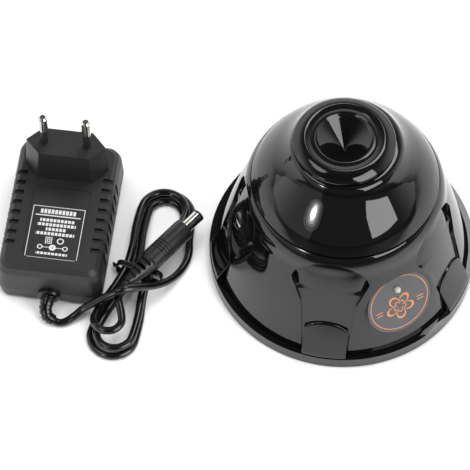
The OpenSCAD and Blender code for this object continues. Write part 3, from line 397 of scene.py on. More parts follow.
@dataclass(frozen=True)
class PrintedShell:
    """The adaptor's gritty shell, with painted shade darkening its grip slots and a plain white print in its
    recess.
    """

    name: str = "printed_black_abs_shell"
    at: Point = (-125.0, 9.0, 0.0)
    turn: float = -7.5
    half_w: float = 23.5
    slot_l: float = 6.7
    slot_y: float = 15.5
    slot_pitch: float = 5.2
    slot_w: float = 2.3
    slots: int = 8
    top: float = 25.0
    print_y: float = -12.5
    white: str = "#c9c9c9"
    dash_rows: tuple[Point, ...] = (
        (9.4, 8.0, 1.1), (4.9, 7.6, 0.75), (2.6, 8.6, 0.75), (0.3, 4.4, 0.75), (-2.0, 8.6, 0.75),
        (-12.2, 7.0, 0.6),
    )

    def build(self) -> bpy.types.Material:
        """Add the print and the slots' shade to the shell's own grit.

        Returns:
            The material.
        """
        material = GRIT_ABS.build().copy()
        material.name = self.name
        tree = material.node_tree
        surface = next(n for n in tree.nodes if n.type == "BSDF_PRINCIPLED")
        tone = surface.inputs["Base Color"].links[0].from_socket
        place = add_node(tree, "ShaderNodeTexCoord")
        local = add_node(
            tree,
            "ShaderNodeVectorRotate",
            {"rotation_type": "Z_AXIS", "invert": True, "Center": (0, 0, 0), "Angle": math.radians(self.turn)},
            {
                "Vector": add_node(
                    tree,
                    "ShaderNodeVectorMath",
                    {"operation": "SUBTRACT", 1: tuple(c * MM for c in self.at)},
                    {0: place.outputs["Object"]},
                ).outputs[0]
            },
        )
        to_mm = {"operation": "SCALE", "Scale": 1000.0}
        scaled = add_node(tree, "ShaderNodeVectorMath", to_mm, {0: local.outputs[0]})
        axes = add_node(tree, "ShaderNodeSeparateXYZ", {}, {0: scaled.outputs[0]})
        x, y, z = (axes.outputs[i] for i in range(3))

        sum_of = sums(tree)

        def box(cx: float, cy: float, hw: float, hh: float) -> Socket:
            """One inside a rectangle, by its centre and half sizes."""
            return sum_of("MULTIPLY", sum_of("COMPARE", x, cx, hw), sum_of("COMPARE", y, cy, hh))

        def ring(cx: float, cy: float, r: float, w: float) -> Socket:
            """One on a circle's line."""
            far = length_of(sum_of, sum_of("SUBTRACT", x, cx), sum_of("SUBTRACT", y, cy))
            return sum_of("COMPARE", far, r, w)

        def frame_of(cx: float, cy: float, outer: Pair, inner: Pair) -> Socket:
            """One between two rectangles with one centre."""
            return sum_of("SUBTRACT", box(cx, cy, *outer), box(cx, cy, *inner))

        # Rows of short dashes stand for the rating lines, so the print says nothing
        dash = sum_of("LESS_THAN", sum_of("FRACT", sum_of("MULTIPLY", x, 0.62)), 0.74)
        mid = self.print_y
        marks = [sum_of("MULTIPLY", box(0, mid + cy, half, tall), dash) for cy, half, tall in self.dash_rows]
        marks.append(box(0, mid + 7.3, 10.0, 0.28))
        marks.append(frame_of(-2.2, mid - 5.4, (1.5, 1.7), (1.15, 1.35)))
        marks.append(frame_of(-2.2, mid - 5.4, (0.75, 0.9), (0.4, 0.5)))
        marks.append(ring(3.0, mid - 5.4, 1.3, 0.25))
        marks += [ring(cx, mid - 9.0, 1.0, w) for cx, w in ((-5.6, 0.22), (0, 0.5), (5.6, 0.22))]
        marks.append(box(0, mid - 9.0, 4.6, 0.16))
        edge = frame_of(0, mid - 1.4, (11.6, 13.4), (11.3, 13.1))
        ink = edge
        for mark in marks:
            ink = sum_of("MAXIMUM", ink, mark)
        ink = sum_of("MULTIPLY", ink, sum_of("COMPARE", z, self.top - 0.5, 0.12))
        # Painted shade: the grip slots' floors and walls are painted near black, standing in for the shade inside
        # them
        low = self.slot_y - (self.slots - 1) * self.slot_pitch
        half_pitch = self.slot_pitch / 2
        whole = sum_of("ADD", y, 200 * self.slot_pitch - low + half_pitch)
        beat = sum_of("ABSOLUTE", sum_of("SUBTRACT", sum_of("MODULO", whole, self.slot_pitch), half_pitch))
        slot = sum_of("LESS_THAN", beat, self.slot_w / 2)
        reach = sum_of("COMPARE", y, (low + self.slot_y) / 2, (self.slot_y - low) / 2 + self.slot_w / 2)
        out = sum_of("GREATER_THAN", sum_of("ABSOLUTE", x), self.half_w - self.slot_l)
        high = sum_of("GREATER_THAN", z, self.top - 11)
        slot_shade_mask = sum_of("MULTIPLY", sum_of("MULTIPLY", slot, reach), sum_of("MULTIPLY", out, high))
        painted_slot_shade = {"data_type": "RGBA", 7: linear("#070707")}
        shaded = add_node(tree, "ShaderNodeMix", painted_slot_shade, {0: slot_shade_mask, 6: tone})
        paint = {"data_type": "RGBA", 7: linear(self.white)}
        printed = add_node(tree, "ShaderNodeMix", paint, {0: ink, 6: shaded.outputs[2]})
        tree.links.new(printed.outputs[2], surface.inputs["Base Color"])
        return material


# ---------------------------------------------------------------- meshes


def finish_mesh(
    name: str,
    verts: Sequence[Sequence[float]],
    faces: Sequence[Sequence[int]],
    material: bpy.types.Material,
    body: str,
    slot: str,
    sharp_deg: float = 35,
    bevel_mm: float = 0.0,
) -> bpy.types.Object:
    """Make a piece from points in millimetres, shade it and let it ride.

    Args:
        name: The piece's name.
        verts: Its points, in millimetres in the row frame.
        faces: Its faces, as point numbers.
        material: Its finish.
        body: The body that it rides on.
        slot: Not used.
        sharp_deg: Edges that turn by more than this stay sharp.
        bevel_mm: Width of the small round on sharp edges, or nought.

    Returns:
        The piece.
    """
    mesh = bpy.data.meshes.new(name)
    mesh.from_pydata([tuple(c * MM for c in v) for v in verts], [], [tuple(f) for f in faces])
    mesh.validate()
    work = bmesh.new()
    work.from_mesh(mesh)
    bmesh.ops.remove_doubles(work, verts=work.verts, dist=2e-6)
    bmesh.ops.recalc_face_normals(work, faces=work.faces)
    work.to_mesh(mesh)
    work.free()
    mesh.materials.append(material)
    piece = bpy.data.objects.new(name, mesh)
    bpy.context.scene.collection.objects.link(piece)
    if bevel_mm:
        bevel = piece.modifiers.new("edge_round", "BEVEL")
        bevel.width = bevel_mm * MM
        bevel.segments = 3
        bevel.limit_method = "ANGLE"
        bevel.angle_limit = math.radians(sharp_deg)
        bevel.harden_normals = False
        apply_modifiers(piece)
    shade(piece, sharp_deg if not bevel_mm else 50)
    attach(piece, body)
    return piece


def shade(piece: bpy.types.Object, sharp_deg: float) -> None:
    """Shade a piece smooth, but for edges that turn by more than an angle."""
    piece.data.shade_smooth()
    piece.data.set_sharp_from_angle(angle=math.radians(sharp_deg))


def apply_modifiers(piece: bpy.types.Object) -> None:
    """Turn a piece's modifiers into plain mesh."""
    graph = bpy.context.evaluated_depsgraph_get()
    graph.update()
    made = bpy.data.meshes.new_from_object(piece.evaluated_get(graph))
    piece.modifiers.clear()
    old = piece.data
    piece.data = made
    bpy.data.meshes.remove(old)


def cut_away(piece: bpy.types.Object, verts: list, faces: list, sharp_deg: float = 40) -> None:
    """Cut a closed shape, given in millimetres, out of a piece.

    Args:
        piece: The piece that is cut.
        verts: The cutter's points.
        faces: The cutter's faces.
        sharp_deg: Edges of the result that turn by more than this stay sharp.
    """
    mesh = bpy.data.meshes.new("cutter")
    mesh.from_pydata([tuple(c * MM for c in v) for v in verts], [], faces)
    work = bmesh.new()
    work.from_mesh(mesh)
    bmesh.ops.recalc_face_normals(work, faces=work.faces)
    work.to_mesh(mesh)
    work.free()
    tool = bpy.data.objects.new("cutter", mesh)
    bpy.context.scene.collection.objects.link(tool)
    cut = piece.modifiers.new("cut", "BOOLEAN")
    cut.operation = "DIFFERENCE"
    cut.solver = "EXACT"
    cut.object = tool
    apply_modifiers(piece)
    bpy.data.objects.remove(tool)
    bpy.data.meshes.remove(mesh)
    shade(piece, sharp_deg)


def lathe(profile: Sequence[Pair], sides: int = 192, matrix: Matrix | None = None) -> tuple[list, list]:
    """Turn a profile of radius and height round an axis.

    Args:
        profile: Pairs of radius and height, in millimetres.
        sides: Number of sides round the axis.
        matrix: Where the axis lies; +Z if it is left out.

    Returns:
        Points and faces.
    """
    place = matrix or Matrix.Identity(4)
    verts: list = []
    faces: list = []
    for r, z in profile:
        for k in range(sides):
            a = 2 * math.pi * k / sides
            verts.append(tuple(place @ Vector((r * math.cos(a), r * math.sin(a), z))))
    for i in range(len(profile) - 1):
        for k in range(sides):
            m = (k + 1) % sides
            faces.append((i * sides + k, i * sides + m, (i + 1) * sides + m, (i + 1) * sides + k))
    return verts, faces


def through(points: Sequence[Sequence[float]], steps: int) -> list[Vector]:
    """Smooth curve through points, as the solids have it.

    Args:
        points: The points it goes through.
        steps: Steps between each two.

    Returns:
        The curve's points.
    """
    p = [Vector(q) for q in points]
    out = []
    last = len(p) - 1
    for i in range(last):
        a, b, c, d = p[max(i - 1, 0)], p[i], p[i + 1], p[min(i + 2, last)]
        for k in range(steps):
            t = k / steps
            bend, twist = 2 * a - 5 * b + 4 * c - d, 3 * b - a - 3 * c + d
            out.append(0.5 * (2 * b + (c - a) * t + bend * t * t + twist * t**3))
    return out + [p[-1]]


def swept(path: Sequence[Vector], radii: float | Sequence[float], sides: int = 24) -> tuple[list, list]:
    """Sweep a round section along a line, square to it at its ends.

    Args:
        path: The line's points, in millimetres.
        radii: One radius, or one for each point.
        sides: Sides of the section.

    Returns:
        Points and faces, closed at both ends.
    """
    last = len(path) - 1
    verts, faces = [], []
    side = None
    for i, p in enumerate(path):
        t = (path[min(i + 1, last)] - path[max(i - 1, 0)]).normalized()
        if side is None:
            side = t.cross(Vector((0, 0, 1)))
        side = (side - side.dot(t) * t).normalized()
        top = side.cross(t)
        r = radii if isinstance(radii, (int, float)) else radii[i]
        for k in range(sides):
            a = 2 * math.pi * (k + 0.5) / sides
            verts.append(tuple(p + r * (math.cos(a) * side + math.sin(a) * top)))
    for i in range(last):
        for k in range(sides):
            m = (k + 1) % sides
            faces.append((i * sides + k, i * sides + m, (i + 1) * sides + m, (i + 1) * sides + k))
    faces.append(tuple(reversed(range(sides))))
    faces.append(tuple(last * sides + k for k in range(sides)))
    return verts, faces


def about(axis: str, degrees: float) -> Matrix:
    """A turn about one of the main axes."""
    return Matrix.Rotation(math.radians(degrees), 4, axis)


def turned(p: Sequence[float], degrees: float, at: Sequence[float]) -> Vector:
    """Turn a point about +Z and move it."""
    a = math.radians(degrees)
    c, s = math.cos(a), math.sin(a)
    return Vector((p[0] * c - p[1] * s + at[0], p[0] * s + p[1] * c + at[1], p[2] + at[2]))


def round_rect(w: float, l: float, r: float, steps: int = 10) -> list[Pair]:
    """Outline of a rectangle with round corners, in millimetres."""
    out = []
    for q in range(4):
        for k in range(steps + 1):
            a = math.radians(q * 90 + k * 90 / steps)
            sx = 1 if q in (0, 3) else -1
            sy = 1 if q < 2 else -1
            out.append((sx * (w / 2 - r) + r * math.cos(a), sy * (l / 2 - r) + r * math.sin(a)))
    return out


# ---------------------------------------------------------------- camera and cord


@dataclass(frozen=True)
class Lamp:
    """One soft lamp that looks at the machine.

    Args:
        name: The lamp's name.
        azimuth: Degrees from -Y towards +X.
        elevation: Degrees above the floor.
        distance: Metres from the machine.
        size: Width and height, in metres.
        radiance: Brightness of its face, where one makes white.
        shape: Blender's name for the outline of its face.
        mirrored: Whether the gloss mirrors it.
    """

    name: str
    azimuth: float
    elevation: float
    distance: float
    size: Pair
    radiance: float
    shape: str = "RECTANGLE"
    mirrored: bool = True

    def hang(self) -> None:
        """Put the lamp in the scene."""
        data = bpy.data.lights.new(self.name, "AREA")
        data.shape = self.shape
        data.size, data.size_y = self.size
        data.energy = self.radiance * math.pi * self.size[0] * self.size[1]
        lamp = bpy.data.objects.new(self.name, data)
        bpy.context.scene.collection.objects.link(lamp)
        lamp.visible_glossy = self.mirrored
        a, e = math.radians(self.azimuth), math.radians(self.elevation)
        way = Vector((math.sin(a) * math.cos(e), -math.cos(a) * math.cos(e), math.sin(e)))
        lamp.location = way * self.distance + Vector((-0.03, 0, 0.06))
        lamp.rotation_euler = way.to_track_quat("Z", "Y").to_euler()


LAMPS = (
    Lamp("key_softbox", 44, 29, 0.9, (0.52, 0.76), 5.6),
    # One round lamp in four discs, each wider and dimmer, so that its mirror image fades out
    *(
        Lamp(f"left_spot_{i}", -39, 18, 0.95 + 0.01 * i, (across, across), radiance, "ELLIPSE")
        for i, (across, radiance) in enumerate(((0.1, 22.0), (0.16, 3.5), (0.24, 1.2), (0.34, 0.6)))
    ),
    Lamp("high_left", -73, 60, 1.2, (0.6, 0.45), 2.8, "ELLIPSE"),
    Lamp("left_card", -66, 14, 1.1, (1.35, 0.7), 0.42),
    Lamp("back_softbox", 150, 62, 1.2, (0.5, 0.3), 6.0),
    Lamp("top_fill", 0, 90, 1.4, (1.2, 1.0), 3.9, mirrored=False),
)


@dataclass
class Studio:
    """Pale floor, soft lamps and the camera at the photograph's angle."""

    target_mm: Point = (-47.6, 9.25, 0.0)
    distance_mm: float = 1534.0
    elevation_deg: float = 58.5
    lens_mm: float = 262.0

    def camera(self) -> None:
        """Place the camera."""
        data = bpy.data.cameras.new("photo_camera")
        data.lens = self.lens_mm
        data.sensor_width = 36.0
        data.clip_start = 0.05
        data.clip_end = 20.0
        camera = bpy.data.objects.new("photo_camera", data)
        bpy.context.scene.collection.objects.link(camera)
        e = math.radians(self.elevation_deg)
        away = Vector((0, -math.cos(e), math.sin(e)))
        camera.location = (Vector(self.target_mm) + self.distance_mm * away) * MM
        camera.rotation_euler = (math.radians(90 - self.elevation_deg), 0, 0)
        bpy.context.scene.camera = camera

    def floor(self) -> None:
        """Lay the pale floor, painted darker towards the front as painted shade."""
        mesh = bpy.data.meshes.new("floor")
        s = 6.0
        mesh.from_pydata([(-s, -s, 0), (s, -s, 0), (s, s, 0), (-s, s, 0)], [], [(0, 1, 2, 3)])
        floor = bpy.data.objects.new("floor", mesh)
        bpy.context.scene.collection.objects.link(floor)
        paper = bpy.data.materials.new("white_paper_with_painted_front_shade")
        paper.use_nodes = True
        surface = paper.node_tree.nodes["Principled BSDF"]
        tree = paper.node_tree
        place = add_node(tree, "ShaderNodeTexCoord")
        axes = add_node(tree, "ShaderNodeSeparateXYZ", {}, {0: place.outputs["Object"]})
        # Painted shade: the floor's colour fades from near white to dark grey towards the front, standing in for
        # dimmer light there, which the gloss skirt mirrors
        front_shade_share = add_node(
            tree,
            "ShaderNodeMapRange",
            {"From Min": -0.245, "From Max": -0.115, "interpolation_type": "SMOOTHSTEP"},
            {"Value": axes.outputs["Y"]},
        )
        tone = add_node(
            tree,
            "ShaderNodeMix",
            {"data_type": "RGBA", 6: linear("#3c3c3c"), 7: linear("#f6f6f6")},
            {0: front_shade_share.outputs[0]},
        )
        tree.links.new(tone.outputs[2], surface.inputs["Base Color"])
        surface.inputs["Roughness"].default_value = 0.6
        surface.inputs["Specular IOR Level"].default_value = 0.2
        mesh.materials.append(paper)

    def air(self) -> None:
        """Give the room a soft even light, dimmer low down and behind the camera."""
        world = bpy.data.worlds.new("studio_air")
        bpy.context.scene.world = world
        world.use_nodes = True
        tree = world.node_tree
        tree.nodes.clear()
        out = add_node(tree, "ShaderNodeOutputWorld")
        place = add_node(tree, "ShaderNodeTexCoord")
        axes = add_node(tree, "ShaderNodeSeparateXYZ", {}, {0: place.outputs["Generated"]})

        def fade(axis: str, low: float, high: float, at_low: float, at_high: float) -> Socket:
            """A soft change of strength along one axis of the view."""
            ends = {"From Min": low, "From Max": high, "To Min": at_low, "To Max": at_high}
            kind = {"interpolation_type": "SMOOTHSTEP"}
            return add_node(tree, "ShaderNodeMapRange", ends | kind, {"Value": axes.outputs[axis]}).outputs[0]

        behind, low_down = fade("Y", -0.55, 0.25, 0.12, 1.3), fade("Z", 0.35, 0.8, 1.0, 0.08)
        both = sums(tree)("MULTIPLY", behind, low_down)
        sky = add_node(tree, "ShaderNodeBackground", {"Color": linear("#fbfbfb")}, {"Strength": both})
        tree.links.new(sky.outputs[0], out.inputs[0])

    def build(self) -> None:
        """Set up the whole studio."""
        self.camera()
        self.floor()
        self.air()
        for lamp in LAMPS:
            lamp.hang()
        bpy.context.scene.view_settings.view_transform = "Standard"
        bpy.context.scene.view_settings.look = "None"


@dataclass
class CordSet:
    """The low voltage cord: its bent boot, the tied hank, the tie and the plug."""

    adaptor_at: Point = (-125.0, 9.0, 0.0)
    adaptor_turn: float = -7.5
    adaptor_l: float = 71.0
    relief_z: float = 8.0
    relief_r: float = 3.4
    cord_r: float = 1.75
    tie_t: float = 0.7
    fold_r: float = 13.0
    run: float = 66.0
    waist: float = 4.8
    hank_at: Point = (-90.0, -13.0, 0.0)
    hank_turn: float = 70.8
    pitch: float = 4.05
    layer: float = 3.95
    turns: int = 3
    steps: int = 24
    first: int = 3
    last: int = 62
    plug_from: Point = (-95.1, -23.5, 13.45)
    plug_to: Point = (-63.5, 10.9, 14.65)
    barrel_l: float = 9.5
    barrel_r: float = 2.75
    grip_r: float = 5.0
    boot_l: float = 14.0
    run_points: tuple[Point, ...] = (
        (-125.4, -37.3, 2), (-122.2, -36.8, 2.1), (-118.6, -34.6, 3), (-114.8, -32.4, 5.2), (-110.2, -31.4, 8.8),
        (-104.2, -30.9, 13.8), (-98.4, -30, 17.1), (-94.2, -28.7, 17), (-88.6, -26.2, 14.2),
        (-82.6, -22.9, 10), (-77.4, -18.2, 5.6), (-73.4, -13, 2.6), (-70.4, -8.2, 1.85),
        (-68.6, -3.7, 1.85), (-68, 0.2, 1.85), (-68, 4.5, 1.8),
    )
    tail_points: tuple[Point, ...] = (
        (-25.5, 10.5, 6), (-30.5, 10.2, 7.6), (-34.5, 7.6, 9.7), (-36, 3.4, 10.2), (-34.2, -0.8, 10.3),
        (-30, -2.6, 10.6), (-25, -0.6, 11.2), (-19.8, 2.4, 12),
    )

    def hank_point(self, i: int) -> Point:
        """A point of the hank, which spirals in on the floor and out again above."""
        u = i / self.steps
        quarter = self.steps / 4
        inward = min(u, self.turns - u) * self.pitch
        r = self.fold_r - inward
        k = i % self.steps
        climb = max(0.0, min(1.0, (u - self.turns / 2 + 0.25) * 2))
        z = self.cord_r + self.layer * (1 - math.cos(math.pi * climb)) / 2
        on_run = k <= quarter / 2 or quarter * 1.5 <= k <= quarter * 2.5 or k >= quarter * 3.5
        along = k if k <= quarter / 2 else k - self.steps if k >= quarter * 3.5 else 2 * quarter - k
        x = along / (quarter / 2) * self.run / 2
        draw = math.cos(math.radians(90 * x / (self.run / 2))) ** 2
        far = quarter / 2 < k < quarter * 1.5
        turn = (k - quarter / 2) / quarter * 180 - 90 if far else (k - quarter * 2.5) / quarter * 180 + 90
        back = quarter * 1.5 <= k <= quarter * 2.5
        if on_run:
            return (x, (1 if back else -1) * (r - self.waist * draw), z + (self.tie_t + 0.1) * draw)
        a = math.radians(turn)
        return ((1 if far else -1) * self.run / 2 + r * math.cos(a), r * math.sin(a), z)

    def boot_points(self) -> list[Vector]:
        """The bent boot's line, in the adaptor's own frame."""
        y = -self.adaptor_l / 2
        z = self.relief_z
        bend = ((0, -2, 0), (-0.3, -4, -0.4), (-0.5, -6.6, -1.7), (0.5, -9, -3.6), (3.2, -9.9, -5.1))
        return [Vector((a, y + b, z + c)) for a, b, c in bend]

    def centre_line(self) -> tuple[list[Vector], Vector]:
        """The cord's line from the boot to the plug.

        Returns:
            Its points in millimetres, and the direction of the plug.
        """
        laid = (self.hank_turn, self.hank_at)
        hank = [turned(self.hank_point(i), *laid) for i in range(self.first, self.last + 1)]
        boot_end = turned(self.boot_points()[-1], self.adaptor_turn, self.adaptor_at)
        run_end = hank[0] - 3.5 * (hank[1] - hank[0]).normalized()
        way = (Vector(self.plug_to) - Vector(self.plug_from)).normalized()
        tail = [turned(p, *laid) for p in self.tail_points]
        line = through([boot_end, *self.run_points, run_end, hank[0]], 6)
        line += through(hank, 4)[1:]
        line += through([hank[-1], *tail, Vector(self.plug_from) - 3.5 * way, Vector(self.plug_from)], 6)[1:]
        return line, way

    def plug_frame(self, way: Vector) -> Matrix:
        """Frame with +Z along the plug and its start at the boot's small end."""
        spin = way.to_track_quat("Z", "Y").to_matrix().to_4x4()
        return Matrix.Translation(Vector(self.plug_from)) @ spin

    def build(self) -> None:
        """Make the cord, its tie and its plug."""
        line, way = self.centre_line()
        length = sum((b - a).length for a, b in zip(line, line[1:]))
        pvc = CORD_PVC.build()
        cord = finish_mesh("cord", *swept(line, self.cord_r, 20), pvc, "machine", "cord_black")
        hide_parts("cord_run", "cord_hank", "cord_tail")
        self.build_boot(pvc)
        tie = self.build_tie(pvc)
        plug = self.build_plug(way)
        [tuple(p * MM) for p in line]
        log.info("cord of %.0f mm with its hank, tie and plug", length)

    def build_boot(self, pvc: bpy.types.Material) -> None:
        """Make the ribbed boot that leads the cord out of the adaptor."""
        line = [turned(p, self.adaptor_turn, self.adaptor_at) for p in through(self.boot_points(), 16)]
        last = len(line) - 1
        radii = []
        for i in range(last + 1):
            t = i / last
            taper = self.relief_r - (self.relief_r - self.cord_r - 0.7) * t
            groove = 0.5 if (i % 9) in (6, 7) and 4 < i < last - 3 else 0.0
            radii.append(taper - groove)
        radii[0] = self.relief_r
        boot = finish_mesh("cord_boot", *swept(line, radii, 40), pvc, "machine", "cord_black", sharp_deg=50)
        end_face = turned((0, -self.adaptor_l / 2, self.relief_z), self.adaptor_turn, self.adaptor_at)
        spin = Matrix.Translation(end_face) @ about("Z", self.adaptor_turn) @ about("X", 90)
        r = self.relief_r
        collar = [(0.01, -1.0), (r, -1.0), (r + 1.6, -0.6), (r + 1.6, 1.4), (r + 1.2, 1.9)]
        collar += [(r + 0.4, 2.1), (0.01, 2.1)]
        seat = finish_mesh("cord_boot_collar", *lathe(collar, 64, spin), pvc, "machine", "cord_black", sharp_deg=30)
        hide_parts("strain_relief")
        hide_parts("strain_relief")

    def build_tie(self, pvc: bpy.types.Material) -> bpy.types.Object:
        """Make the flat band round the hank's waist, with its twisted ends."""
        half = self.fold_r - self.waist + self.cord_r + 0.2
        top = 2 * self.cord_r + self.layer + self.tie_t + 0.2
        mid_z = top / 2 + self.tie_t / 2
        middle = [(y, z + mid_z) for y, z in round_rect(2 * half + self.tie_t, top, 2.8, 12)]
        verts, faces = [], []
        n = len(middle)
        section = [(-1.5, 0.0), (-1.3, 0.33), (-0.4, 0.33), (0, 0.2), (0.4, 0.33), (1.3, 0.33)]
        section += [(1.5, 0.0), (1.3, -0.3), (-1.3, -0.3)]
        centre = Vector((0, mid_z))
        for y, z in middle:
            out = (Vector((y, z)) - centre).normalized()
            for x, t in section:
                verts.append(tuple(turned((x, y + out.x * t, z + out.y * t), self.hank_turn, self.hank_at)))
        m = len(section)
        for i in range(n):
            for k in range(m):
                a, b = i * m + k, i * m + (k + 1) % m
                c, d = ((i + 1) % n) * m + (k + 1) % m, ((i + 1) % n) * m + k
                faces.append((a, b, c, d))
        tie = finish_mesh("cord_tie_band", verts, faces, pvc, "machine", "cord_black", sharp_deg=60)
        stub = []
        for i in range(25):
            t = i / 24
            a = t * 14
            wire = (0.45 * math.cos(a) + 1.2 * t, half + 0.6 + 2.1 * t, 4 + 0.45 * math.sin(a) - 1.2 * t)
            stub.append(turned(wire, self.hank_turn, self.hank_at))
        ends = finish_mesh("cord_tie_twist", *swept(stub, 0.62, 12), pvc, "machine", "cord_black")
        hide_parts("cord_tie")
        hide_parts("cord_tie")
        return tie

    def build_plug(self, way: Vector) -> list[bpy.types.Object]:
        """Make the low voltage plug: slotted boot, grip with rings, barrel and tip.

        Args:
            way: Unit vector along the plug.

        Returns:
            Its pieces.
        """
        place = self.plug_frame(way)
        length = (Vector(self.plug_to) - Vector(self.plug_from)).length
        grip_end = length - self.barrel_l
        profile: list[Pair] = [(0.01, 0.0), (self.cord_r + 0.55, 0.0), (self.cord_r + 0.8, 0.3)]
        for i in range(1, 9):
            t = i / 8
            profile.append((self.cord_r + 0.8 + 1.75 * t, 0.3 + (self.boot_l - 1.0) * t))
        g, groove = self.grip_r, self.grip_r - 0.35
        profile += [(g - 0.5, self.boot_l - 0.3), (g, self.boot_l + 0.4)]
        for i in range(4):
            z = self.boot_l + 5.6 + i * 1.5
            profile += [(g, z), (groove, z + 0.12), (groove, z + 0.5), (g, z + 0.62)]
        profile += [(g, grip_end - 0.5), (g - 0.4, grip_end), (self.barrel_r + 0.05, grip_end), (0.01, grip_end)]
        pvc = GRIP_PVC.build()
        grip = finish_mesh("plug_grip_body", *lathe(profile, 72, place), pvc, "machine", "cord_black", sharp_deg=32)
        for s in (1, -1):
            for i in range(4):
                z = 2.6 + i * 2.9
                w = 1.9 + 0.32 * i
                verts = [
                    tuple(place @ Vector((x * w, s * y, z + h)))
                    for h in (0, 1.5)
                    for x, y in ((-1, 1.6 + 0.12 * i), (1, 1.6 + 0.12 * i), (1, 7), (-1, 7))
                ]
                cut_away(grip, verts, BOX_FACES, 32)
        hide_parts("plug_grip")
        r = self.barrel_r
        shell = [(r - 0.45, grip_end - 1), (r, grip_end - 1), (r, length - 1.15)]
        shell += [(r - 0.12, length - 1.02), (r - 0.45, length - 1.0)]
        barrel = finish_mesh("plug_barrel_shell", *lathe(shell, 64, place), NICKEL.build(), "machine", "chrome_pin")
        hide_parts("plug_barrel")
        bore = 1.15
        tip_line = [(r - 0.5, grip_end), (r - 0.5, length - 1.0), (r, length - 1.0), (r, length - 0.2)]
        tip_line += [(r - 0.2, length), (bore + 0.2, length), (bore, length - 0.25)]
        tip_line += [(bore, length - 8), (0.01, length - 8)]
        tip = finish_mesh("plug_tip_bush", *lathe(tip_line, 64, place), PHENOLIC.build(), "machine", "dark_nylon")
        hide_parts("plug_tip")
        return [grip, barrel, tip]


# ---------------------------------------------------------------- the machine


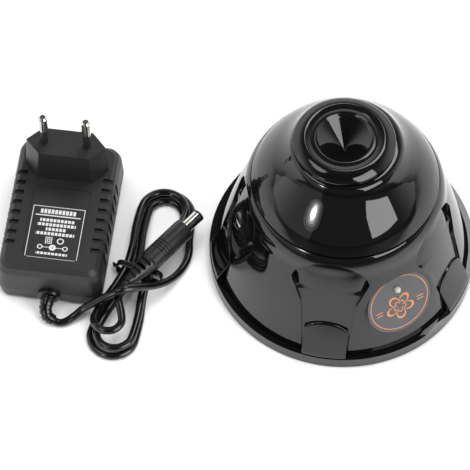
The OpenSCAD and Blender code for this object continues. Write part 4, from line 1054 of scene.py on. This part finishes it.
@dataclass
class Housing:
    """The gloss skirt with its five arched panels, the dome and the label."""

    rim_z: float = 6.8
    floor_z: float = 3.8
    seam_z: float = 62.3
    skirt_r: float = 56.1
    seam_r: float = 40.7
    bulge: float = 0.9
    shoulder: float = 0.9
    shoulder_z: float = 50.0
    panel_depth: float = 1.6
    half_w: float = 17.0
    foot_half_w: float = 10.2
    corner_z: float = 46.3
    arch_h: float = 13.0
    tongue_z: float = 24.5
    base_r: float = 59.0
    label_r: float = 15.5
    label_z: float = 30.0
    label_dist: float = 48.6
    label_tilt: float = 21.0
    label_angle: float = -61.5
    rear_angle: float = 81.0
    rear_z: float = 18.5
    switch_y: float = -7.0
    socket_y: float = 11.0
    socket_r: float = 4.1
    panels: tuple[float, ...] = (-99.0, -27.0, 45.0, 117.0, 189.0)
    dome_r: float = 40.9
    dome_z: float = 62.5
    collar_z: float = 89.8
    collar_r: float = 26.4
    opening_r: float = 17.0

    def skirt_at(self, z: float) -> float:
        """Radius of the skirt at a height."""
        if z <= self.rim_z:
            return self.skirt_r
        t = (z - self.rim_z) / (self.seam_z - self.rim_z)
        round_off = max(0.0, (z - self.shoulder_z) / (self.seam_z - self.shoulder_z))
        shoulder = self.shoulder * 6.75 * round_off**2 * (1 - round_off)
        return self.skirt_r + (self.seam_r - self.skirt_r) * t + self.bulge * 4 * t * (1 - t) + shoulder

    def arch(self) -> Pair:
        """Radius of a panel's arch, and the height of its centre."""
        radius = (self.half_w**2 + self.arch_h**2) / (2 * self.arch_h)
        return radius, self.corner_z + self.arch_h - radius

    def panel_half(self, z: float) -> float:
        """Half width of a panel at a height, nought above its arch."""
        knee = [(self.rim_z, self.foot_half_w), (self.rim_z + 13, self.foot_half_w + 0.4)]
        knee += [(self.rim_z + 28, self.half_w * 0.7), (self.corner_z, self.half_w)]
        if z <= self.corner_z:
            for (z0, w0), (z1, w1) in zip(knee, knee[1:]):
                if z <= z1:
                    return w0 + (w1 - w0) * max(0.0, z - z0) / (z1 - z0)
        arch_r, middle = self.arch()
        rise = z - middle
        return math.sqrt(max(0.0, arch_r**2 - rise**2)) if rise < arch_r else 0.0

    def arch_gap(self, y: float, z: float) -> float:
        """Distance below a panel's arch, across the panel."""
        arch_r, middle = self.arch()
        return arch_r - math.hypot(y, z - middle) if z > middle else self.half_w

    def tongue_top(self, y: float) -> float:
        """Height of the raised foot tongue's arched edge, across a panel."""
        w, h = self.foot_half_w - 0.4, 4.0
        r = (w * w + h * h) / (2 * h)
        return self.tongue_z - r + math.sqrt(max(0.0, r * r - y * y))

    def rows(self) -> list[float]:
        """Heights of the skirt's rows, close together where the arch bends."""
        z = [self.rim_z + (self.corner_z - self.rim_z) * i / 44 for i in range(45)]
        arch_r, middle = self.arch()
        reach = math.asin(self.half_w / arch_r)
        z += [middle + arch_r * math.cos(reach * (1 - i / 26)) for i in range(1, 27)]
        top = self.corner_z + self.arch_h
        return z + [top + (self.seam_z - 0.3 - top) * i / 8 for i in range(1, 9)]

    def skirt(self) -> bpy.types.Object:
        """Make the skirt with its panels cut to their arches.

        Returns:
            The skirt.
        """
        lobe_n, panel_n = 40, 24
        verts: list = []
        faces: list = []
        columns: list[list[int]] = []
        for z in self.rows():
            r = self.skirt_at(z)
            half = self.panel_half(z)
            under = self.corner_z + self.arch_h - z
            row: list[int] = []
            for centre, nxt in zip(self.panels, (*self.panels[1:], self.panels[0] + 360)):
                step = math.degrees(math.asin(half / r)) if half > 0 else 0.0
                for k in range(panel_n + 1):
                    y = half * (2 * k / panel_n - 1)
                    # The floor is flatter than the skirt, rolls out to it at its sides and dips at the arch
                    near = min(half - abs(y), self.arch_gap(y, z))
                    lip = min(1.5, 3.2 * math.exp(-max(0.0, self.arch_gap(y, z)) / 2.5))
                    roll = 0.72 + 0.28 * min(1.0, max(0.0, near) / 3.0) ** 0.5
                    dish = 0.3 * (1 - (y / 17.0) ** 2)
                    flat = r - 0.7 * self.panel_depth * roll - lip - dish
                    reach = flat if half > 0 and under > 0 else r
                    a = math.radians(centre) + (math.asin(y / reach) if half > 0 else 0.0)
                    verts.append((reach * math.cos(a), reach * math.sin(a), z))
                    row.append(len(verts) - 1)
                for k in range(lobe_n + 1):
                    a = math.radians(centre + step + (nxt - centre - 2 * step) * k / lobe_n)
                    verts.append((r * math.cos(a), r * math.sin(a), z))
                    row.append(len(verts) - 1)
            columns.append(row)
        for low, high in zip(columns, columns[1:]):
            for k in range(len(low)):
                m = (k + 1) % len(low)
                faces.append((low[k], low[m], high[m], high[k]))
        # Turned-in edges at the seam and at the rim
        for row, z, inset in ((columns[-1], self.seam_z - 0.3, 2.6), (columns[0], self.floor_z, 0.0)):
            ring = []
            for v in row:
                x, y, _ = verts[v]
                r = math.hypot(x, y)
                k = (r - inset) / r if inset else self.skirt_r / r
                verts.append((x * k, y * k, z))
                ring.append(len(verts) - 1)
            for k in range(len(row)):
                m = (k + 1) % len(row)
                faces.append((row[k], row[m], ring[m], ring[k]))
        gloss = GLOSS_ABS.build()
        rounds = {"sharp_deg": 38, "bevel_mm": 0.28}
        skirt = finish_mesh("gloss_skirt", verts, faces, gloss, "machine", "black_gloss", **rounds)
        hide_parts("lower_housing")
        return skirt

    def label_frame(self) -> Matrix:
        """Frame with +Z out of the label and -X up its slope."""
        spin = about("Z", self.label_angle)
        out = Matrix.Translation(Vector((self.label_dist, 0, self.label_z)))
        return spin @ out @ about("Y", 90 - self.label_tilt)

    def tongues(self) -> None:
        """Make the raised foot tongue of each panel."""
        gloss = GLOSS_ABS.build()
        w = self.foot_half_w - 0.4
        n, rows = 24, 14
        top_r = self.skirt_at(self.tongue_z) - self.panel_depth + 0.9
        for i, angle in enumerate(self.panels):
            verts, faces = [], []
            for j in range(rows + 1):
                for k in range(n + 1):
                    y = -w + 2 * w * k / n
                    peak = self.tongue_top(y)
                    z = self.rim_z + 0.05 + (peak - self.rim_z - 0.05) * j / rows
                    up = z - self.rim_z
                    if z < self.rim_z + 2:
                        r = self.base_r - 0.3 - 0.3 * up / 2
                    else:
                        share = (up - 2) / (self.tongue_z - self.rim_z - 2)
                        r = self.base_r - 0.6 + (top_r - self.base_r + 0.6) * share
                    verts.append(tuple(turned((math.sqrt(r * r - y * y), y, z), angle, (0, 0, 0))))
            for j in range(rows):
                for k in range(n):
                    a = j * (n + 1) + k
                    faces.append((a, a + 1, a + n + 2, a + n + 1))
            edge = [*range(n + 1), *(j * (n + 1) + n for j in range(1, rows + 1))]
            edge += [rows * (n + 1) + k for k in range(n - 1, -1, -1)]
            edge += [j * (n + 1) for j in range(rows - 1, 0, -1)]
            back = []
            for v in edge:
                p = Vector(verts[v])
                k = (self.skirt_at(p.z) - 2.2) / math.hypot(p.x, p.y)
                verts.append((p.x * k, p.y * k, p.z))
                back.append(len(verts) - 1)
            for k in range(len(edge)):
                m = (k + 1) % len(edge)
                faces.append((edge[k], edge[m], back[m], back[k]))
            rounds = {"sharp_deg": 40, "bevel_mm": 0.25}
            finish_mesh(f"foot_tongue_{i + 1}", verts, faces, gloss, "machine", "black_gloss", **rounds)

    def label(self, skirt: bpy.types.Object) -> None:
        """Sink the label's round pocket in the skirt and print the label."""
        place = self.label_frame()
        hole_r, seat_r = self.label_r + 0.4, self.label_r + 0.9
        cut_away(skirt, *lathe([(0.01, 0.0), (hole_r, 0.0), (hole_r, 30), (0.01, 30)], 128, place))
        gloss = GLOSS_ABS.build()
        seat_line = [(0.01, -0.02), (seat_r, -0.02), (seat_r, -1.6), (0.01, -1.6)]
        finish_mesh("label_seat", *lathe(seat_line, 128, place), gloss, "machine", "black_gloss", sharp_deg=30)
        out = place.to_3x3()
        centre = place @ Vector((0, 0, 0))
        upward = -(out @ Vector((1, 0, 0)))
        normal = out @ Vector((0, 0, 1))
        dress("label_disc", PrintedLabel().build(centre * MM, upward.cross(normal), upward))

    def rear(self, skirt: bpy.types.Object) -> None:
        """Cut the flat behind the socket and the switch, and back it."""
        face = self.skirt_at(self.rear_z) - 3.1
        spin = about("Z", self.rear_angle)

        def block(x0: float, x1: float, y: float, half_w: float, half_h: float) -> tuple[list, list]:
            """A box in the rear flat's own frame."""
            verts = [
                tuple(spin @ Vector((x, y + sy * half_w, self.rear_z + sz * half_h)))
                for x in (x0, x1)
                for sy, sz in ((-1, -1), (1, -1), (1, 1), (-1, 1))
            ]
            return verts, BOX_FACES

        cut_away(skirt, *block(face, self.base_r + 5, 0, 19, 9.5))
        gloss = GLOSS_ABS.build()
        backing = block(face - 2.4, face - 0.01, 0, 19.6, 10)
        plate = finish_mesh("rear_flat", *backing, gloss, "machine", "black_gloss", sharp_deg=30)
        cut_away(plate, *block(face - 8, face + 3, self.switch_y, 4.8, 7.2))
        hole = spin @ Matrix.Translation(Vector((0, self.socket_y, self.rear_z))) @ about("Y", 90)
        r = self.socket_r
        cut_away(plate, *lathe([(0.01, face - 8), (r, face - 8), (r, face + 3), (0.01, face + 3)], 48, hole))

    def dome(self) -> None:
        """Make the dome with its collar and opening."""
        z, r, c = self.dome_z, self.dome_r, self.collar_r
        o, top = self.opening_r, self.collar_z
        points = [
            (r, z), (r - 1.2, z + 2.6), (r - 3.1, z + 6.2), (r - 5.7, z + 10.1), (r - 8.5, z + 13.8),
            (r - 11, z + 16.9), (r - 13.4, z + 20.1), (c - 0.8, top - 4.2), (c - 2.1, top - 1.8),
            (c - 3.1, top - 0.5), (c - 4.4, top),
        ]
        line = [(p.x, p.y) for p in through([(a, b, 0) for a, b in points], 8)]
        line += [(o + 0.5, top), (o + 0.15, top - 0.15), (o, top - 0.5), (o, top - 2.2), (c - 2.2, top - 3.4)]
        line += [(a - 2.2, b - 0.8) for a, b in reversed(points[2:8])]
        line += [(r - 3.0, z + 1.0), (r - 3.0, z - 1.8), (r - 4.6, z - 1.8), (r - 4.6, z - 2.0)]
        line += [(r - 3.2, z - 2.0), (r - 3.2, z)]
        line = [(r - 0.6, z + 0.12), (r - 0.2, z + 0.25), (r - 0.06, z + 0.5)] + line[2:]
        gloss = GLOSS_ABS.build()
        dome = finish_mesh("gloss_dome", *lathe(line, 256), gloss, "machine", "black_gloss", sharp_deg=40)
        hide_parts("upper_dome")

    def build(self) -> None:
        """Make the whole housing."""
        skirt = self.skirt()
        log.info("skirt with its panels")
        self.label(skirt)
        self.rear(skirt)
        self.tongues()
        self.dome()
        log.info("label, rear flat, tongues and dome")


@dataclass
class Cup:
    """The moving rubber cup with its cone-shaped hollow."""

    at_x: float = -1.2
    edge_r: float = 22.0
    edge_z: float = 90.35
    crest_z: float = 94.75
    dimple_r: float = 12.3
    dimple_z: float = 84.95
    boss_r: float = 12.5
    hub_z: float = 71.0
    hub_top: float = 83.2
    hub_r: float = 9.5

    def build(self) -> None:
        """Make the cup."""
        d, top, edge = self.dimple_r, self.crest_z, self.edge_z
        low = self.dimple_z
        groove = d + 2.3
        crown = [
            (groove, top - 0.75, 0), (groove + 0.9, top - 0.4, 0), (groove + 2.4, top, 0),
            (groove + 3.9, top - 0.3, 0), (groove + 5.3, top - 1.05, 0), (self.edge_r - 0.9, top - 1.95, 0),
            (self.edge_r - 0.25, top - 2.6, 0),
        ]
        line = [(0.01, low), (0.4, low + 0.08)]
        line += [((d - 0.3) * t / 12, low + (top - 1.05 - low) * t / 12) for t in range(1, 13)]
        # The raised ring round the cone
        line += [(d - 0.15, top - 0.8), (d + 0.1, top - 0.55), (d + 0.6, top - 0.35)]
        line += [(d + 1.2, top - 0.4), (d + 1.7, top - 0.6)]
        line += [(p.x, p.y) for p in through(crown, 8)]
        line += [(self.edge_r, top - 3.1), (self.edge_r, edge + 0.35), (self.edge_r - 0.35, edge)]
        # The boss that goes down through the dome's opening, and the seat of the hub
        boss, hub, seat = self.boss_r, self.hub_r + 0.05, self.hub_z + 2
        line += [(boss, edge), (boss, seat), (hub, seat), (hub, self.hub_top), (0.01, self.hub_top)]
        place = Matrix.Translation(Vector((self.at_x, 0, 0)))
        rubber = CUP_RUBBER.build()
        cup = finish_mesh("rubber_cup", *lathe(line, 256, place), rubber, "head", "cup_rubber", sharp_deg=26)
        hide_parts("shaker_cup")
        log.info("rubber cup")


@dataclass
class Solids:
    """Finishes of the pieces whose solids are shown as they are."""

    finishes: dict[str, Finish] = field(
        default_factory=lambda: {
            "base_plate": GLOSS_ABS, "rubber_feet": FOOT_RUBBER, "base_screws": ZINC, "lamp": LENS,
            "dome_screws": ZINC, "motor_bracket": STEEL, "isolators": FOOT_RUBBER, "drive_screws": ZINC,
            "motor_can": ZINC, "motor_end_cap": PHENOLIC, "motor_magnets": FERRITE, "motor_brushes": FERRITE,
            "motor_terminals": BRASS, "shaft_bushings": BRASS, "switch_body": SATIN_ABS, "switch_terminals": BRASS,
            "dc_socket": SATIN_ABS, "socket_contacts": NICKEL, "socket_nut": ZINC, "circuit_board": BOARD,
            "board_parts": RESISTOR, "wire_supply": RED_PVC, "wire_switched": RED_PVC, "wire_return": CORD_PVC,
            "motor_shaft": STEEL, "armature_core": STEEL, "armature_windings": COPPER, "commutator": COPPER,
            "eccentric_hub": STEEL, "counterweight": BRASS, "grub_screw": BLACK_OXIDE, "eccentric_pin": STEEL,
            "bearing_inner_ring": NICKEL, "pin_screw": BLACK_OXIDE, "bearing_balls": NICKEL, "bearing_cage": BRASS,
            "cup_hub": NYLON, "bearing_outer_ring": NICKEL, "bearing_clip": BLACK_OXIDE, "power_rocker": SATIN_ABS,
            "adaptor_top_shell": GRIT_ABS, "adaptor_bottom_shell": GRIT_ABS, "mains_pins": NICKEL,
            "pin_sleeves": PHENOLIC, "adaptor_board": BOARD, "transformer": TAPE, "capacitors": SLEEVE,
        }
    )

    def build(self) -> None:
        """Dress every solid that stays in view."""
        for node, finish in self.finishes.items():
            dress(node, finish.build())
        dress("adaptor_top_shell", PrintedShell().build())
        log.info("%d solids dressed", len(self.finishes))


def dress(node: str, material: bpy.types.Material) -> None:
    """Give a solid its finish in every material slot."""
    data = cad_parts[node].data
    if not data.materials:
        data.materials.append(material)
    for i in range(len(data.materials)):
        data.materials[i] = material


def main() -> None:
    """Build the studio, the cord, the machine and the finishes in order."""
    logging.basicConfig(level=logging.INFO)
    Studio().build()
    CordSet().build()
    Housing().build()
    Cup().build()
    Solids().build()


if __name__ == "__main__":
    main()
